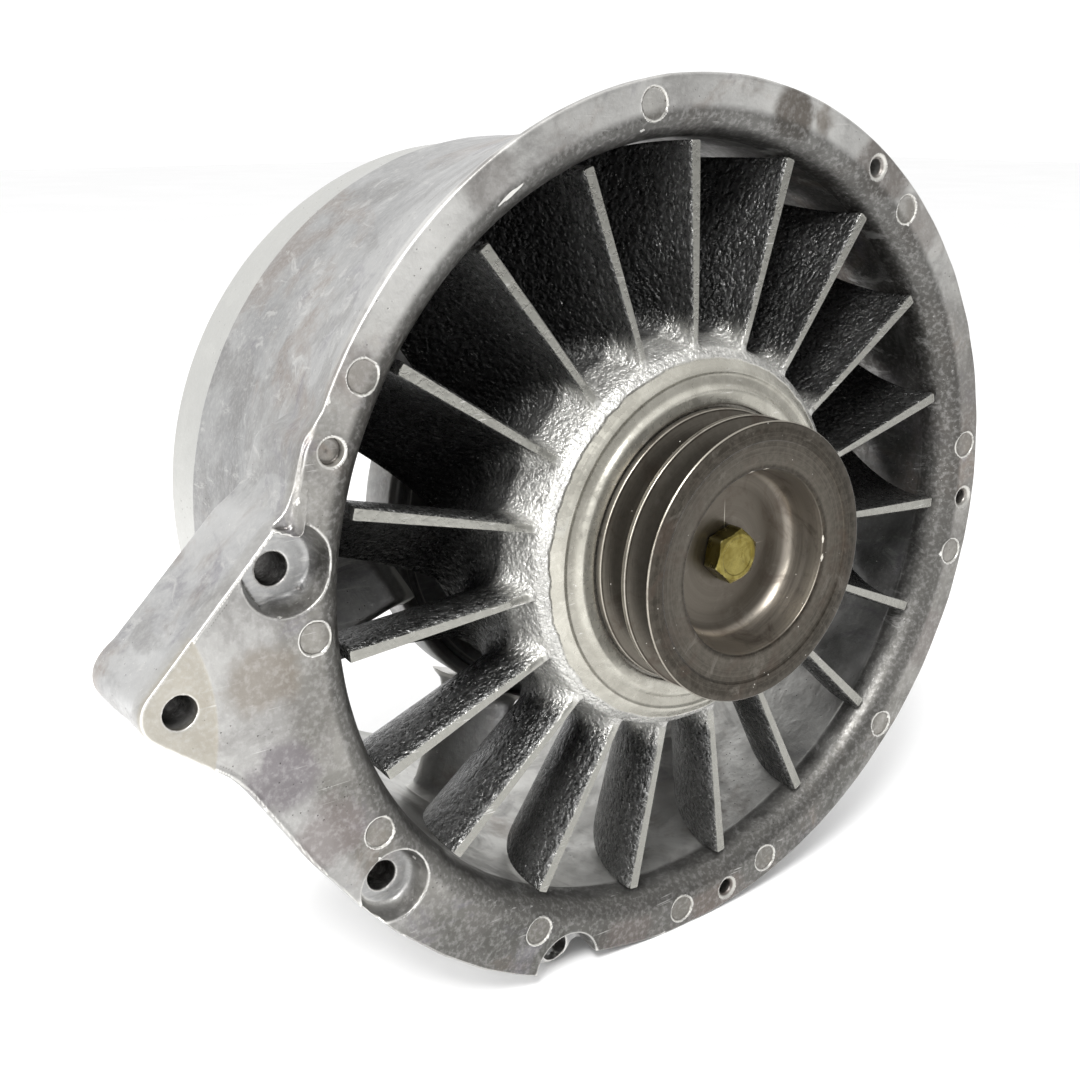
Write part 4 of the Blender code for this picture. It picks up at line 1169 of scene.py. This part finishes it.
def make_cap():
    rear = DUCT_DEPTH
    profile = [
        (34.5, rear - 16.8, 0.5),
        (34.5, rear - 10.4, 0),
        (47.0, rear - 10.4, 0.5),
        (47.0, rear - 5.0, 1.2),
        (35.5, rear - 5.0, 2.0),
        (32.5, rear - 1.5, 1.5),
        (31.0, rear, 1.2),
        (12.0, rear, 0.4),
        (11.4, rear - 0.6, 0.4),
        (0.05, rear - 0.6, 0),
        (0.05, rear - 4.5, 0),
        (28.0, rear - 4.5, 1.0),
        (28.0, rear - 16.8, 0.5),
    ]
    return lathe("rear_cap_casting", round_corners(profile, 1.0, 3), 120)


def main():
    looks = {
        "cast_aluminium": cast_aluminium(),
        "impeller_aluminium": impeller_aluminium(),
        "turned_iron": turned_iron(),
        "yellow_zinc": yellow_zinc(),
        "steel": ground_steel(),
        "cage_bronze": cage_bronze(),
        "rubber": seal_rubber(),
        "gasket_paper": gasket_paper(),
    }
    slots = {entry["node"]: entry["material_slot"] for entry in frame["record"]["subparts"]}
    for name, node in frame["nodes"].items():
        dress(node, looks[slots[name]])
    built = {
        "fan_housing": make_housing(),
        "guide_vane_hub": make_vane_hub(),
        "impeller": make_impeller(),
        "drive_pulley": make_pulley(),
        "rear_cap": make_cap(),
    }
    points, faces = hex_head(10.97, PULLEY_FLOOR - 0.3, -24.0, 18, 5.8, 16.0)
    built["pulley_bolt"] = face_outwards(make_object("bolt_turning", points, faces, 30))
    seat = DUCT_DEPTH - 4.7
    for i in range(4):
        low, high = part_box(f"rear_cap_screw_{i + 1}")
        middle = (low + high) / 2
        points, faces = hex_head(5.77, seat, seat + 4.0, 0, 3.0, DUCT_DEPTH - 23.0)
        placed = [(x + middle.x / MM, y, z + middle.z / MM) for x, y, z in points]
        screw = make_object(f"cap_screw_turning_{i + 1}", placed, faces, 30)
        built[f"rear_cap_screw_{i + 1}"] = face_outwards(screw)
    for node, piece in built.items():
        stand_for(piece, node, looks[slots[node]])


# ---------------------------------------------------------------- floor, light and camera

CAMERA_FROM_RIM = (-0.34961, -0.37689, 0.16203)
CAMERA_AZIMUTH = -36.025
CAMERA_ELEVATION = 17.561
LENS = 45.33

# Towards the brightest part of the sky, and its strength from the darkest side to the brightest
SKY_DIRECTION = (-0.10, 0.62, 0.75)
SKY_RANGE = (-0.5, 0.5, 0.52, 1.12)


def area_light(name, place, target, size, power, colour=(1, 1, 1)):
    light = bpy.data.lights.new(name, "AREA")
    light.shape = "RECTANGLE"
    light.size, light.size_y = size
    light.energy = power
    light.color = colour
    lamp = bpy.data.objects.new(name, light)
    lamp.location = place
    aim = Vector(target) - Vector(place)
    lamp.rotation_euler = aim.to_track_quat("-Z", "Y").to_euler()
    bpy.context.scene.collection.objects.link(lamp)


def make_stage():
    half = 8.0
    mesh = bpy.data.meshes.new("floor")
    corners = [(-half, -half, REST_Z), (half, -half, REST_Z), (half, half, REST_Z), (-half, half, REST_Z)]
    mesh.from_pydata(corners, [], [(0, 1, 2, 3)])
    floor = bpy.data.objects.new("floor", mesh)
    bpy.context.scene.collection.objects.link(floor)
    g = Graph("floor_look")
    shade = g.mix(g.band(g.noise(3, 2), 0.3, 0.7), (0.93, 0.93, 0.93), (0.95, 0.95, 0.95))
    g.finish(shade, 0.9, g.bump(g.noise(40, 2), 0.02, 0.001), 0.0, 0.1)
    mesh.materials.append(g.material)

    world = bpy.data.worlds.new("studio")
    bpy.context.scene.world = world
    world.use_nodes = True
    tree = world.node_tree
    direction = tree.nodes.new("ShaderNodeTexCoord")
    towards = tree.nodes.new("ShaderNodeVectorMath")
    towards.operation = "DOT_PRODUCT"
    towards.inputs[1].default_value = SKY_DIRECTION
    glow = tree.nodes.new("ShaderNodeMapRange")
    glow.interpolation_type = "SMOOTHSTEP"
    for key, value in zip(("From Min", "From Max", "To Min", "To Max"), SKY_RANGE):
        glow.inputs[key].default_value = value
    tree.links.new(direction.outputs["Generated"], towards.inputs[0])
    tree.links.new(towards.outputs["Value"], glow.inputs["Value"])
    tree.links.new(glow.outputs["Result"], tree.nodes["Background"].inputs["Strength"])
    tree.nodes["Background"].inputs["Color"].default_value = (1.0, 1.0, 1.0, 1)
    area_light("key", (-1.0, -1.0, 1.5), (0, -0.15, 0), (0.6, 0.6), 38)
    area_light("side", (-1.6, -0.5, 0.6), (-0.1, -0.1, 0), (0.7, 0.7), 16)
    bpy.context.scene.view_settings.view_transform = "Standard"


def make_camera():
    data = bpy.data.cameras.new("camera")
    data.lens = LENS
    data.sensor_width = 36
    data.clip_start = 0.01
    camera = bpy.data.objects.new("camera", data)
    x, y, z = CAMERA_FROM_RIM
    camera.location = (x, RIM_Y + y, z)
    camera.rotation_euler = (math.radians(90 - CAMERA_ELEVATION), 0, math.radians(CAMERA_AZIMUTH))
    bpy.context.scene.collection.objects.link(camera)
    bpy.context.scene.camera = camera


main()
make_stage()
make_camera()
